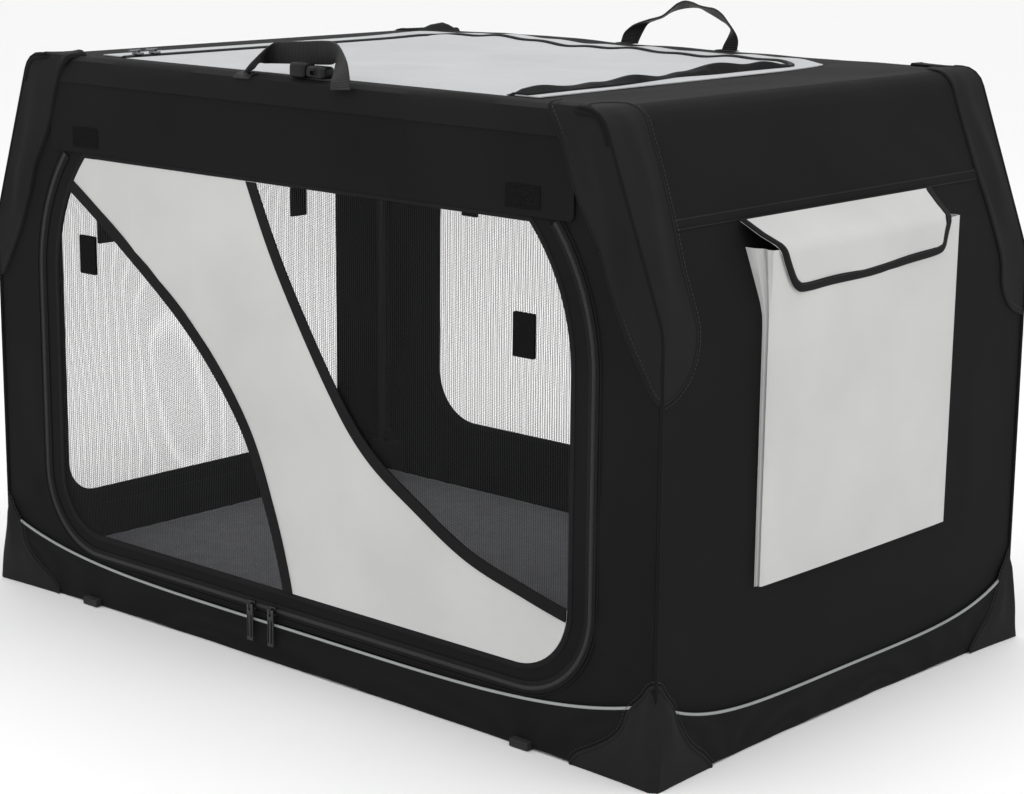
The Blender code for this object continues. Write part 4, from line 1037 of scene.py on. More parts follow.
def through(points, steps=8):
    """A smooth open line through the points."""
    result = []
    last = len(points) - 1
    for i in range(last):
        p = [Vector(points[max(0, min(last, i + k))]) for k in (-1, 0, 1, 2)]
        for k in range(steps):
            t = k / steps
            q = 2 * p[1] + (p[2] - p[0]) * t
            q += (2 * p[0] - 5 * p[1] + 4 * p[2] - p[3]) * t * t
            q += (3 * p[1] - p[0] - 3 * p[2] + p[3]) * t**3
            result.append((q.x / 2, q.y / 2))
    result.append(tuple(points[-1]))
    return result


def trimmed(points, border):
    """What is left of a pattern within a rounded border."""
    for a, b in zip(border, border[1:] + border[:1]):
        kept = []
        for j, p in enumerate(points):
            q = points[j - 1]
            p_in = (b[0] - a[0]) * (p[1] - a[1]) - (b[1] - a[1]) * (p[0] - a[0])
            q_in = (b[0] - a[0]) * (q[1] - a[1]) - (b[1] - a[1]) * (q[0] - a[0])
            if (p_in >= 0) != (q_in >= 0):
                t = q_in / (q_in - p_in)
                kept.append((q[0] + (p[0] - q[0]) * t, q[1] + (p[1] - q[1]) * t))
            if p_in >= 0:
                kept.append(p)
        points = kept
    clean = []
    for p in points:
        if not clean or math.dist(p, clean[-1]) > 5e-4:
            clean.append(p)
    while math.dist(clean[0], clean[-1]) < 5e-4:
        clean.pop()
    return clean


def over_window(shares):
    return [(x * 0.355, 0.077 + z * 0.406) for x, z in shares]


left_edge = through(over_window([
    (-1.12, 0.99), (-0.955, 0.916), (-0.718, 0.786), (-0.414, 0.594), (-0.203, 0.392),
    (-0.096, 0.192), (-0.028, 0.0), (-0.01, -0.12),
]))
right_edge = through(over_window([
    (-0.19, 1.12), (-0.135, 1.0), (-0.014, 0.791), (0.177, 0.537), (0.313, 0.404), (0.490, 0.308),
    (0.670, 0.227), (0.862, 0.180), (1.010, 0.150), (1.15, 0.13),
]))
window = moved_out(anticlockwise(net_cut["front"]), -0.0006)
around = left_edge + over_window([(1.15, -0.12)]) + right_edge[::-1] + over_window([(-1.12, 1.12)])
drape = creased([
    ((-0.250, 0.475), (-0.215, 0.360), 0.009, 0.0022),
    ((-0.205, 0.476), (-0.180, 0.330), 0.010, 0.0018),
    ((-0.160, 0.476), (-0.130, 0.300), 0.011, 0.0014),
    ((-0.300, 0.470), (-0.270, 0.420), 0.009, 0.0016),
    ((-0.110, 0.474), (-0.060, 0.260), 0.012, 0.0010), ((0.02, 0.20), (0.16, 0.10), 0.014, 0.0008),
], 0.0004, 0.9)
sash = cloth_mesh(
    "slanting_sash", [trimmed(anticlockwise(around), window)], side_line, on_front,
    -0.0004, 0.0006, drape, grid=0.009, fade=0.018,
)
sash.data.materials.append(grey_cloth)
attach(sash, "front_door")
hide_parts("front_door_sash")
binding_look = woven(
    "binding_tape", (0.0115, 0.0115, 0.012), (0.005, 0.005, 0.006),
    pitch=0.0011, rough=0.8, lift=0.0003, sheen=0.03,
)
for name, edge, way in (("left", left_edge, 1), ("right", right_edge, -1)):
    strip = moved_out(edge, way * 0.0013, False) + moved_out(edge, -way * 0.011, False)[::-1]
    tape_piece = cloth_mesh(
        f"sash_tape_{name}", [trimmed(anticlockwise(strip), window)], side_line, on_front,
        0.0004, 0.0020, grid=0.010,
    )
    tape_piece.data.materials.append(binding_look)
    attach(tape_piece, "front_door")
    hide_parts(f"sash_binding_{name}")

# The end walls: each a single piece of black cloth, upright to the kink and then bent in
# over the top corner. The left one has a net door of its own, the right one the pocket.
end_marks = marks_along(end_line)
end_top = float(end_marks[-2])


def up_the_end(z):
    """How far along the bent end a height is."""
    heights = np.array(end_line)[:-1, 1]
    return float(np.interp(z, heights, end_marks[:-1]))


end_low = 0.0403
full_end = [
    (-crate_half_depth, end_low), (crate_half_depth, end_low),
    (crate_half_depth, end_top), (-crate_half_depth, end_top),
]
left_door_cut = corner_arcs(
    [(-0.229, 0.470), (-0.229, 0.058), (0.229, 0.058), (0.229, 0.470)], [0, 0.050, 0.050, 0], False,
)
right_drag = creased([
    ((-0.23, 0.50), (-0.10, 0.530), 0.012, 0.0012), ((0.22, 0.50), (0.12, 0.545), 0.012, 0.0012),
    ((-0.20, 0.10), (-0.16, 0.40), 0.016, 0.0008), ((0.20, 0.08), (0.21, 0.36), 0.016, 0.0010),
    ((-0.12, 0.10), (0.12, 0.085), 0.014, 0.0009), ((0.02, 0.13), (0.18, 0.10), 0.012, 0.0008),
    ((0.0, 0.500), (0.02, 0.560), 0.016, 0.0008),
], 0.0002, 1.4)
right_wall = cloth_mesh(
    "right_end_cloth", [full_end], end_line, on_right, wall_inner, wall_outer, right_drag,
    grid=0.010, fade=0.02,
)
left_drag = creased([
    ((-0.255, 0.12), (-0.250, 0.36), 0.010, 0.0010), ((0.255, 0.12), (0.250, 0.36), 0.010, 0.0010),
    ((-0.15, 0.545), (0.0, 0.500), 0.016, 0.0010), ((0.16, 0.545), (0.05, 0.505), 0.016, 0.0010),
], 0.0002, 2.6)
left_wall = cloth_mesh(
    "left_end_cloth", [full_end, left_door_cut], end_line, on_left, wall_inner, wall_outer,
    left_drag, grid=0.010, fade=0.02,
)
for wall, node in ((right_wall, "end_wall_right"), (left_wall, "end_wall_left")):
    wall.data.materials.append(black_cloth)
    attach(wall, "base")
    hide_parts(node)

# The felled seam across each end, where the leaning top half is joined to the lower one:
# a flat double lap with a row of stitches along each edge.
thread_look = moulded("sewing_thread", (0.020, 0.020, 0.022), rough=0.5, grain=2000, depth=0.00005)


def stitches(name, line, bent, place, out, closed=False, length=0.0028, pitch=0.0040):
    """A row of lockstitches: short rounded threads, each a few faces, lying on the cloth."""
    p = np.array(line + line[:1] if closed else line, dtype=float)
    run = marks_along(p)
    starts = np.arange(pitch / 2, run[-1] - length, pitch)
    verts, faces = [], []
    for at in starts:
        first = len(verts)
        for share, fat in ((0.0, 0.35), (0.5, 1.0), (1.0, 0.35)):
            d = at + length * share
            c, s = float(np.interp(d, run, p[:, 0])), float(np.interp(d, run, p[:, 1]))
            k = min(len(p) - 2, int(np.searchsorted(run, d) - 1))
            way = (p[k + 1] - p[k]) / max(1e-9, np.linalg.norm(p[k + 1] - p[k]))
            for aside, up in ((-0.00035, 0.0), (0.0, 0.00042), (0.00035, 0.0), (0.0, -0.0002)):
                u, v = bent_to(bent, np.array([s + way[0] * aside * fat]), out + up * fat)
                verts.append(place(float(u[0]), float(v[0]), c - way[1] * aside * fat))
        for ring in (0, 4):
            for k in range(4):
                m = (k + 1) % 4
                faces.append((first + ring + k, first + ring + m, first + ring + 4 + m,
                              first + ring + 4 + k))
        faces += [(first, first + 3, first + 2, first + 1),
                  (first + 8, first + 9, first + 10, first + 11)]
    row = made_up(name, verts, faces, None)
    row.data.materials.append(thread_look)
    return row


seam_high = 0.482
lap_section = [(0.006, -0.0004), (0.0050, 0.0005), (-0.0050, 0.0005), (-0.006, -0.0004)]
for end, place_on in (("right", on_right), ("left", on_left)):
    seam_at = up_the_end(seam_high)
    seam_line = spaced_out([(0.240, seam_at), (-0.240, seam_at)], 0.010, False)
    lap = beading(f"{end}_lap", seam_line, end_line, place_on, lap_section)
    lap.data.materials.append(black_cloth)
    rows = [
        stitches("lap_row", [(c, s + d) for c, s in seam_line], end_line, place_on, 0.0005)
        for d in (-0.0042, 0.0042)
    ]
    seam = joined(f"{end}_end_seam", [lap] + rows)
    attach(seam, "base")

# The left end's door: zip, cloth border with a bound inner edge, and net, all bent
# over the kink with the wall that they are in.
left_run = [p for p in spaced_out(left_door_cut, 0.008, False) if p[1] < 0.4696]
zipper = joined(
    "left_zip_closed", tape_and_coil(left_run, end_line, on_left, door_tape, door_coil),
)
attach(zipper, "base")
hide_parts("left_zip")
left_window = corner_arcs(
    [(-0.209, 0.078), (0.209, 0.078), (0.209, 0.460), (-0.209, 0.460)],
    [0.036, 0.036, 0.030, 0.030], True,
)
outer = moved_out(anticlockwise(left_door_cut), -0.0005)
border = cloth_mesh(
    "left_door_edge", [outer, left_window], end_line, on_left, -0.0018, -0.0002, grid=0.010,
)
border.data.materials.append(black_cloth)
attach(border, "left_door")
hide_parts("left_door_border")
binding = beading(
    "left_door_binding", spaced_out(anticlockwise(left_window), 0.010), end_line, on_left,
    folded_tape(-0.0020, -0.0016, -0.0021), True,
)
binding.data.materials.append(zip_tape_look)
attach(binding, "left_door")
left_sag = creased([
    ((-0.18, 0.42), (0.05, 0.30), 0.02, 0.0009), ((0.0, 0.25), (0.17, 0.12), 0.02, -0.0008),
], 0.0005, 3.0)
net = cloth_mesh(
    "left_window_net", [moved_out(anticlockwise(left_window), 0.0015)], end_line, on_left,
    net_inner, net_outer, left_sag, grid=0.014, fade=0.04,
)
pulled(net, [(-0.12, 0.16, 0.13, -0.09), (0.02, 0.36, 0.20, 0.05), (-0.19, 0.40, 0.10, 0.06)])
net.data.materials.append(window_net)
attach(net, "left_door")
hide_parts("left_door_net")
for side, y in (("front", -0.146), ("back", 0.146)):
    square = box_pattern(y, fastener_high, 0.0125, 0.020, 0.0015)
    patch = cloth_mesh(f"left_fastener_{side}", [square], end_line, on_left, -0.0022, 0.0005)
    patch.data.materials.append(hook_look)
    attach(patch, "left_door")

# The corner caps: a tongue of doubled cloth over each upper corner, sewn on to take the
# rub of the bent tubes, its free edge bound and stitched down. A corded seam runs up each
# corner of the crate and ends in a fuller tuck under the cap.
cap_on_side = [
    (0.324, 0.601), (0.326, 0.586), (0.329, 0.5765), (0.337, 0.566), (0.348, 0.542), (0.358, 0.513),
    (0.371, 0.489), (0.386, 0.465), (0.400, 0.428), (0.417, 0.392), (0.434, 0.364), (0.447, 0.344),
    (0.4552, 0.340),
]
cap_on_end = [
    (0.2405, 0.563), (0.240, 0.526), (0.242, 0.481), (0.2455, 0.448), (0.2455, 0.395),
    (0.248, 0.374), (0.258, 0.357), (0.274, 0.345), (0.2905, 0.340),
]
cap_top = float(end_marks[-1]) - 0.352
cap_cloth = woven(
    "cap_cloth", (0.0142, 0.0142, 0.0148), (0.0072, 0.0072, 0.0075),
    pitch=0.0010, rough=0.80, lift=0.0003, sheen=0.02,
)
cap_line = [
    (0.2900, 0.0), (0.2900, 0.335), (0.2934, 0.5730), (0.2922, 0.5785), (0.2880, 0.5812),
    (0.2600, 0.5812),
]
cap_tip = [(0.3745, 0.5815), (0.3640, 0.5890), (0.3560, 0.6020)]
cap_over_top = [
    (0.284, cap_top), (0.262, cap_top - 0.001), (0.248, cap_top - 0.007), (0.2415, cap_top - 0.020),
]
side_puffs = [
    ((0.372, 0.568), (0.420, 0.400), 0.009, 0.0030),
    ((0.352, 0.560), (0.392, 0.455), 0.006, 0.0014),
    ((0.395, 0.545), (0.436, 0.400), 0.007, -0.0016),
    ((0.405, 0.470), (0.445, 0.362), 0.006, 0.0012),
]
end_puffs = [
    ((0.262, 0.600), (0.270, 0.420), 0.008, 0.0024),
    ((0.250, 0.540), (0.258, 0.400), 0.006, -0.0010),
    ((0.276, 0.560), (0.280, 0.380), 0.006, 0.0012),
]


def over_cap(s):
    """How far the cap stands out over the long side at a distance up the end."""
    return 0.0034 * min(1.0, max(0.0, (s - 0.335) / 0.239))


def corner_run(way, out, distances):
    """A line up the crate's corner, at those distances up the end, that turns in at the top."""
    return [
        (way * (out + over_cap(s) - 0.010 * max(0.0, (s - cap_top + 0.012) / 0.030)), s)
        for s in distances
    ]


def mirrored(way, lines):
    return [
        ((way * c0, s0), (way * c1, s1), wide, high)
        for (c0, s0), (c1, s1), wide, high in lines
    ]


def round_section(radius, out):
    """The section of a cord: eight points round its middle."""
    return [
        (radius * math.cos(a), out + radius * math.sin(a))
        for a in [math.pi * 2 * k / 8 for k in range(8)]
    ]


for end, way_x, place_end in (("left", -1, on_left), ("right", 1, on_right)):
    for side, way_y, place_side in (("front", -1, on_front), ("back", 1, on_back)):
        free = through([(way_x * x, z) for x, z in cap_on_side], 3)
        corner = [(way_x * x, z) for x, z in end_line if 0.345 < z < 0.5765]
        corner += [(way_x * x, z) for x, z in cap_tip]
        puffs = creased(mirrored(way_x, side_puffs), 0.0005, way_x + 0.4 * way_y)
        flat_part = cloth_mesh(
            "cap_side", [anticlockwise(free + corner)], cap_line, place_side, 0.0002, 0.0014, puffs,
            grid=0.007, fade=0.008,
        )
        free_end = [(way_y * y, s) for y, s in cap_over_top]
        free_end = through(free_end + [(way_y * y, up_the_end(z)) for y, z in cap_on_end], 3)
        corner_end = corner_run(way_y, 0.2905, np.linspace(up_the_end(0.345), cap_top, 28))
        puffs = creased(mirrored(way_y, end_puffs), 0.0004, way_x + 0.7 * way_y)
        bent_part = cloth_mesh(
            "cap_end", [anticlockwise(free_end + corner_end)], end_line, place_end, 0.0002, 0.0014,
            puffs, grid=0.007, fade=0.008,
        )
        pieces = [flat_part, bent_part]
        edges = ((free, cap_line, place_side), (free_end, end_line, place_end))
        for k, (edge, bent, place_on) in enumerate(edges):
            section = half_round(0.0, 0.0036, 0.0002 if k else -0.0026, 0.0022)
            run = spaced_out(edge, 0.006, False)
            pieces.append(beading("cap_bound", run, bent, place_on, section))
        for piece in pieces:
            piece.data.materials.append(cap_cloth)
        for edge, bent, place_on in edges:
            run = spaced_out(moved_out(edge, -way_x * 0.0045, False), 0.006, False)
            pieces.append(stitches("cap_row", run, bent, place_on, 0.0014))
        cap = joined(f"corner_cap_{side}_{end}", pieces)
        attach(cap, "base")
        welt = beading(
            f"corner_welt_{side}_{end}",
            corner_run(way_y, 0.2902, np.arange(0.046, cap_top - 0.004, 0.008)),
            end_line, place_end, round_section(0.0019, 0.0006),
        )
        tuck = beading(
            "cap_tuck",
            corner_run(way_y, 0.2898, np.arange(cap_top - 0.060, cap_top + 0.003, 0.006)),
            end_line, place_end, round_section(0.0030, -0.0030),
        )
        for piece in (welt, tuck):
            piece.data.materials.append(black_cloth)
        welt = joined(f"corner_welt_{side}_{end}", [welt, tuck])
        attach(welt, "base")

# The roof: black cloth that turns down over both long edges, cut out for the light door
# that is zipped in on three sides, with a light strip sewn round outside the zip.
roof_line = corner_arcs([
    (crate_half_depth, 0.5612), (crate_half_depth, crate_height),
    (-crate_half_depth, crate_height), (-0.2933, 0.5542),
], [0, 0.006, 0.012, 0], False, 9)
roof_marks = marks_along(roof_line)
roof_half = end_line[-2][0] - 0.0003
flat_from = next(k for k, p in enumerate(roof_line) if p[1] > 0.57999)


def over_roof(y):
    """How far along the roof's bent line a place on its flat top is."""
    return float(roof_marks[flat_from] + roof_line[flat_from][0] - y)


def on_roof(u, v, w):
    """On the roof: the cloth along the zip's back run sways up and down between the rods."""
    back_run = math.exp(-((u - 0.205) / 0.055) ** 2) * min(1.0, max(0.0, (0.355 - abs(w)) / 0.05))
    sway = 0.0042 * math.exp(-((w + 0.195) / 0.050) ** 2) + 0.0011 * (1 + math.sin(w * 41 + 1.0))
    sway += 0.0008 * math.sin(w * 97)
    return (w, u, v + (back_run * sway if v > 0.575 else 0.0))


def roof_ridges(lines, cloud, seed):
    """Soft ridges on the roof, each end given by its place (x, y)."""
    return creased([
        ((x0, over_roof(y0)), (x1, over_roof(y1)), wide, high)
        for (x0, y0), (x1, y1), wide, high in lines
    ], cloud, seed)


roof_cut = corner_arcs(
    [(0.247, over_roof(-0.257)), (0.236, over_roof(0.200)), (-0.278, over_roof(0.200)),
     (-0.278, over_roof(-0.257))],
    [0, 0.035, 0.035, 0], False,
)
roof_length = float(roof_marks[-1])
roof_pattern = [
    (-roof_half, 0), (roof_half, 0), (roof_half, roof_length), (-roof_half, roof_length),
]
roof_black = woven(
    "roof_black_cloth", (0.0112, 0.0112, 0.0117), (0.0056, 0.0056, 0.0059),
    pitch=0.0009, rough=0.8, lift=0.0002, sheen=0.02,
)
strain = roof_ridges([
    ((-0.30, -0.274), (-0.05, -0.270), 0.008, 0.0010),
    ((0.12, -0.276), (0.33, -0.268), 0.008, 0.0010),
    ((0.308, -0.20), (0.312, 0.10), 0.009, 0.0012),
    ((-0.335, -0.15), (-0.330, 0.16), 0.008, 0.0012),
    ((-0.30, 0.272), (0.05, 0.266), 0.010, 0.0022),
    ((-0.358, 0.268), (-0.315, 0.271), 0.012, 0.0105),
], 0.0004, 0.2)
surround = cloth_mesh(
    "roof_cloth", [roof_pattern, roof_cut], roof_line, on_roof, wall_inner, wall_outer, strain,
    grid=0.010, fade=0.012,
)
surround.data.materials.append(roof_black)
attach(surround, "base")
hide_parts("roof_surround")

light_cloth = woven(
    "light_roof_cloth", (0.498, 0.507, 0.516), (0.382, 0.391, 0.398),
    pitch=0.0009, rough=0.8, lift=0.0002, sheen=0.03,
)
soft_folds = roof_ridges([
    ((-0.27, -0.19), (0.20, -0.16), 0.010, 0.0024), ((-0.24, -0.12), (0.10, -0.09), 0.012, 0.0020),
    ((-0.10, -0.04), (0.25, -0.02), 0.012, 0.0018), ((-0.26, 0.03), (0.05, 0.06), 0.012, 0.0022),
    ((-0.05, 0.12), (0.25, 0.11), 0.013, 0.0016), ((-0.27, 0.16), (0.0, 0.18), 0.011, 0.0022),
    ((0.20, -0.23), (0.05, -0.14), 0.010, 0.0016), ((-0.22, -0.24), (-0.12, -0.10), 0.011, 0.0018),
    ((0.0, -0.245), (0.10, -0.13), 0.012, 0.0014), ((0.24, -0.10), (0.21, 0.15), 0.010, 0.0016),
], 0.0010, 0.5)


def slack_panel(c, s):
    """The roof door lies slack: long folds, and a swell over the zip on its left."""
    swell = 0.0045 * np.exp(-((c + 0.235) / 0.035) ** 2) * (0.6 + 0.4 * np.sin(s * 14))
    return soft_folds(c, s) + swell - 0.0010


panel_edge = moved_out(anticlockwise(roof_cut), -0.0005)
panel = cloth_mesh(
    "roof_door_cloth", [panel_edge], roof_line, on_roof, -0.0017, -0.0002, slack_panel,
    grid=0.0085, fade=0.025,
)
panel.data.materials.append(light_cloth)
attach(panel, "roof_door")
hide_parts("roof_door_panel")

zip_run = spaced_out([(c, min(s, over_roof(-0.255))) for c, s in roof_cut][::-1], 0.008, False)
half_way = len(zip_run) // 2
outward = 1 if moved_out(zip_run, 0.01, False)[half_way][1] < zip_run[half_way][1] else -1
roof_tape = flat_tape(outward * -0.0014, outward * 0.008, 0.0003, 0.0008)
roof_coil = half_round(outward * 0.0038, 0.0036, 0.0006, 0.0020)
strips = tape_and_coil(zip_run, roof_line, on_roof, roof_tape, roof_coil)
cover_pattern = [
    (0.2500, over_roof(-0.253)), (0.2400, over_roof(0.150)), (0.2545, over_roof(0.165)),
    (0.2690, over_roof(-0.253)),
]
swells = (
    (-0.225, 0.030, 0.0042), (-0.150, 0.016, 0.0016), (-0.090, 0.030, 0.0048),
    (-0.020, 0.014, 0.0018), (0.045, 0.046, 0.0078), (0.120, 0.024, 0.0046),
)


def standing_up(c, s):
    """The zip's cover on the right run stands up in a few soft waves."""
    return 0.0012 + sum(
        high * np.exp(-((s - over_roof(y)) / wide) ** 2) for y, wide, high in swells
    )


cover = cloth_mesh(
    "roof_zip_cover", [cover_pattern], roof_line, on_roof, 0.0015, 0.0025, standing_up,
    grid=0.005, fade=0.0045,
)
cover.data.materials.append(zip_tape_look)
zipper = joined("roof_zip_closed", strips + [cover])
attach(zipper, "base")
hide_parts("roof_zip")
inner_side = moved_out(zip_run, outward * 0.0083, False)
outer_side = moved_out(zip_run, outward * 0.0363, False)
margin_pattern = anticlockwise(inner_side + outer_side[::-1])
margin_folds = roof_ridges([
    ((-0.30, -0.20), (-0.302, 0.10), 0.007, 0.0012), ((-0.20, 0.238), (0.15, 0.240), 0.007, 0.0012),
    ((0.258, -0.20), (0.256, 0.14), 0.007, 0.0012),
], 0.0005, 1.1)
margin = cloth_mesh(
    "roof_light_strip", [margin_pattern], roof_line, on_roof, 0.0003, 0.0012, margin_folds,
    grid=0.0085, fade=0.010,
)
margin.data.materials.append(light_cloth)
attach(margin, "base")
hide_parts("roof_margin")

# The pocket: a flat bag of the light grey cloth on the right end, its open mouth at the
# kink. Its front swells a little and its sides are narrow gussets, sewn to the wall.
pocket_half, pocket_low, pocket_top = 0.152, 0.152, 0.455


def end_face(z):
    """How far out the bent end's outer face is at a height."""
    rising = np.array(end_line)[:-1]
    return float(np.interp(z, rising[:, 1], rising[:, 0]))


rows, columns = 26, 34
left_gusset = [(-1.0, 0.0), (-1.0, 0.35), (-0.965, 0.55), (-0.995, 0.80), (-0.985, 1.0)]
right_gusset = [(0.985, 1.0), (0.995, 0.80), (0.985, 0.5), (1.0, 0.0)]
pocket_mesh = bmesh.new()
chart = pocket_mesh.loops.layers.uv.new("pattern")
grid_rows = []
for i in range(rows + 1):
    share = i / rows
    z = pocket_low + (pocket_top - pocket_low) * share
    back = end_face(z) + 0.0003
    front = 0.455 + 0.0068 + 0.0014 * share
    row = []
    for y_share, out_share in left_gusset:
        row.append((y_share * pocket_half, back + (front - back) * out_share))
    for k in range(1, columns):
        across = -0.985 + 1.97 * k / columns
        fullness = math.sin(math.pi * min(1, 0.08 + share * 0.85)) ** 0.7
        swell = 0.0034 * (1 - abs(across) ** 3) * fullness
        lines = 0.0006 * math.sin(across * 7 + 1) * math.sin(share * 8 + across * 3)
        lines += 0.0004 * math.sin(across * 17 + share * 5)
        lines *= min(1, 6 * (1 - abs(across)), 8 * share + 0.1)
        row.append((across * pocket_half, front + swell + lines))
    for y_share, out_share in right_gusset:
        row.append((y_share * pocket_half, back + (front - back) * out_share))
    dip = 0.0 if i < rows else 1.0
    heights = [z - dip * 0.004 * (1 - (y / pocket_half) ** 2) for y, _ in row]
    grid_rows.append([(pocket_mesh.verts.new((x, y, h)), y, z) for (y, x), h in zip(row, heights)])
turned_x = end_face(pocket_low) + 0.0003
foot_row = [
    (pocket_mesh.verts.new((turned_x, y, pocket_low - 0.0008)), y, pocket_low - 0.009)
    for _, y, _ in grid_rows[0]
]
for one, two in zip([foot_row] + grid_rows, grid_rows):
    for a, b, c, d in zip(one, one[1:], two[1:], two):
        face = pocket_mesh.faces.new((a[0], b[0], c[0], d[0]))
        for loop, (_, y, z) in zip(face.loops, (a, b, c, d)):
            loop[chart].uv = (y, z)
bmesh.ops.remove_doubles(pocket_mesh, verts=pocket_mesh.verts[:], dist=1e-6)
bmesh.ops.recalc_face_normals(pocket_mesh, faces=pocket_mesh.faces[:])
if sum(f.normal.x for f in pocket_mesh.faces) < 0:
    bmesh.ops.reverse_faces(pocket_mesh, faces=pocket_mesh.faces[:])
pocket = set_down("grey_pocket", pocket_mesh)
use(pocket, ("SOLIDIFY", {"thickness": 0.0011, "offset": -1}))
smooth(pocket, 50)
pocket.data.materials.append(grey_cloth)
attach(pocket, "base")
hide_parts("pocket_body")

# The pocket's flap: a doubled grey panel sewn to the leaning wall, hanging over the mouth.
# Its free edges are bound in black, with the lower left corner cut off at a slant.
flap_x = 0.4645
flap_line = corner_arcs(
    [(flap_x, 0.4135), (flap_x, 0.4555), (0.4283, 0.477)], [0, 0.010, 0], False, 8,
)
flap_marks = marks_along(flap_line)
flap_long = float(flap_marks[-1])
flap_edge = [
    (-0.153, flap_long), (-0.149, 0.060), (-0.139, 0.036), (-0.127, 0.014), (-0.118, 0.0045),
    (-0.104, 0.0005), (-0.06, 0.0018), (0.0, 0.0022), (0.060, 0.0060), (0.108, 0.0085),
    (0.122, 0.013), (0.127, 0.026), (0.138, 0.056), (0.150, flap_long),
]
flap_free = through(flap_edge[1:-1], 4)
flap_pattern = anticlockwise([flap_edge[0]] + flap_free + [flap_edge[-1]])
flap_drape = creased([
    ((-0.05, 0.002), (0.05, 0.055), 0.014, 0.0012), ((0.12, 0.005), (0.07, 0.055), 0.012, 0.0012),
    ((-0.12, 0.030), (-0.06, 0.060), 0.010, 0.0010),
], 0.0006, 0.8)
flap = cloth_mesh(
    "pocket_flap_cloth", [flap_pattern], flap_line, on_right, 0.0002, 0.0012, flap_drape,
    grid=0.008, fade=0.012,
)
flap.data.materials.append(grey_cloth)
bound_run = spaced_out([flap_edge[0]] + flap_free + [flap_edge[-1]], 0.006, False)
half_way = len(bound_run) // 2
inward = -1 if moved_out(bound_run, 0.01, False)[half_way][1] < bound_run[half_way][1] else 1
tape_piece = beading(
    "flap_tape", bound_run, flap_line, on_right,
    [(inward * 0.0078, 0.0011), (inward * 0.0076, 0.0019), (inward * 0.001, 0.0022),
     (-inward * 0.0006, 0.0012), (inward * 0.001, -0.0004), (inward * 0.0076, 0.0000)],
)
tape_piece.data.materials.append(binding_look)
row_line = moved_out(bound_run, inward * 0.0062, False)
row = stitches("flap_row", row_line, flap_line, on_right, 0.0021)
flap_bound = joined("pocket_flap_binding", [tape_piece, row])
for piece, slot_name in ((flap, "grey_cloth"), (flap_bound, "black_cloth")):
    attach(piece, "flap")
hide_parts("pocket_flap")

# The front carry handle: a strap of ribbed webbing. Its ends are sewn down at the roof's
# edge, and it turns over onto its edge between them, pushed back over the roof.
webbing_look = zip_look("ribbed_webbing", 0.0019, (0.0062, 0.0062, 0.0064))


def strap(name, stations, thick=0.0019):
    """Webbing through the stations; each gives a point on either edge of the webbing."""
    given = np.array([list(one) + list(other) for one, other in stations], dtype=float)
    middle = (given[:, :3] + given[:, 3:]) / 2
    marks = marks_along(middle)
    slope = np.gradient(given, marks, axis=0)
    run = np.linspace(0, marks[-1], round(marks[-1] / 0.0020) + 1)
    at = np.clip(np.searchsorted(marks, run, side="right") - 1, 0, len(marks) - 2)
    span = (marks[at + 1] - marks[at])[:, None]
    t = (run - marks[at])[:, None] / span
    path = given[at] * (2 * t**3 - 3 * t**2 + 1) + slope[at] * span * (t**3 - 2 * t**2 + t)
    path += given[at + 1] * (3 * t**2 - 2 * t**3) + slope[at + 1] * span * (t**3 - t**2)
    middles, halves = (path[:, :3] + path[:, 3:]) / 2, (path[:, :3] - path[:, 3:]) / 2
    faced = np.cross(np.gradient(middles, axis=0), halves)
    faced /= np.linalg.norm(faced, axis=1, keepdims=True)
    section = [(1.0, 0.3), (0.96, 1), (0.8, 1), (0.4, 0.9), (0, 0.85), (-0.4, 0.9), (-0.8, 1),
               (-0.96, 1), (-1.0, 0.3)]
    section += [(across, -fat) for across, fat in reversed(section)]
    sides, count, half_width = len(section), len(run), 0.0125
    verts = [
        tuple(middles[i] + halves[i] * across + faced[i] * thick / 2 * fat)
        for i in range(count) for across, fat in section
    ]
    faces, charts = [], []
    for i in range(count - 1):
        for k in range(sides):
            m = (k + 1) % sides
            faces.append((i * sides + k, i * sides + m, (i + 1) * sides + m, (i + 1) * sides + k))
            a, b = section[k][0] * half_width, section[m][0] * half_width
            charts += [(run[i], a), (run[i], b), (run[i + 1], b), (run[i + 1], a)]
    faces += [tuple(range(sides)), tuple((count - 1) * sides + k for k in reversed(range(sides)))]
    charts += [(0.0, 0.0)] * (2 * sides)
    piece = made_up(name, verts, faces, charts, 50)
    piece.data.materials.append(webbing_look)
    return piece


front_strap = strap("front_carry_strap", [
    ((-0.0568, -0.2925, 0.5815), (-0.0682, -0.2770, 0.5815)),
    ((-0.0532, -0.2890, 0.5881), (-0.0660, -0.2725, 0.5835)),
    ((-0.0517, -0.2800, 0.5957), (-0.0667, -0.2640, 0.5891)),
    ((-0.0502, -0.2710, 0.6029), (-0.0652, -0.2590, 0.5885)),
    ((-0.0467, -0.2645, 0.6086), (-0.0529, -0.2585, 0.5889)),
    ((-0.0300, -0.2625, 0.6109), (-0.0341, -0.2590, 0.5899)),
    ((-0.0040, -0.2622, 0.6130), (-0.0078, -0.2590, 0.5910)),
    ((0.0238, -0.2628, 0.6151), (0.0187, -0.2595, 0.5922)),
    ((0.0379, -0.2660, 0.6153), (0.0311, -0.2610, 0.5933)),
    ((0.0518, -0.2730, 0.6132), (0.0396, -0.2640, 0.5959)),
    ((0.0694, -0.2830, 0.6066), (0.0488, -0.2735, 0.5929)),
    ((0.0836, -0.2915, 0.5970), (0.0598, -0.2870, 0.5861)),
    ((0.0888, -0.2944, 0.5866), (0.0642, -0.2940, 0.5804)),
    ((0.0905, -0.2950, 0.5759), (0.0643, -0.2948, 0.5741)),
])
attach(front_strap, "handle_front")
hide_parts("front_handle")

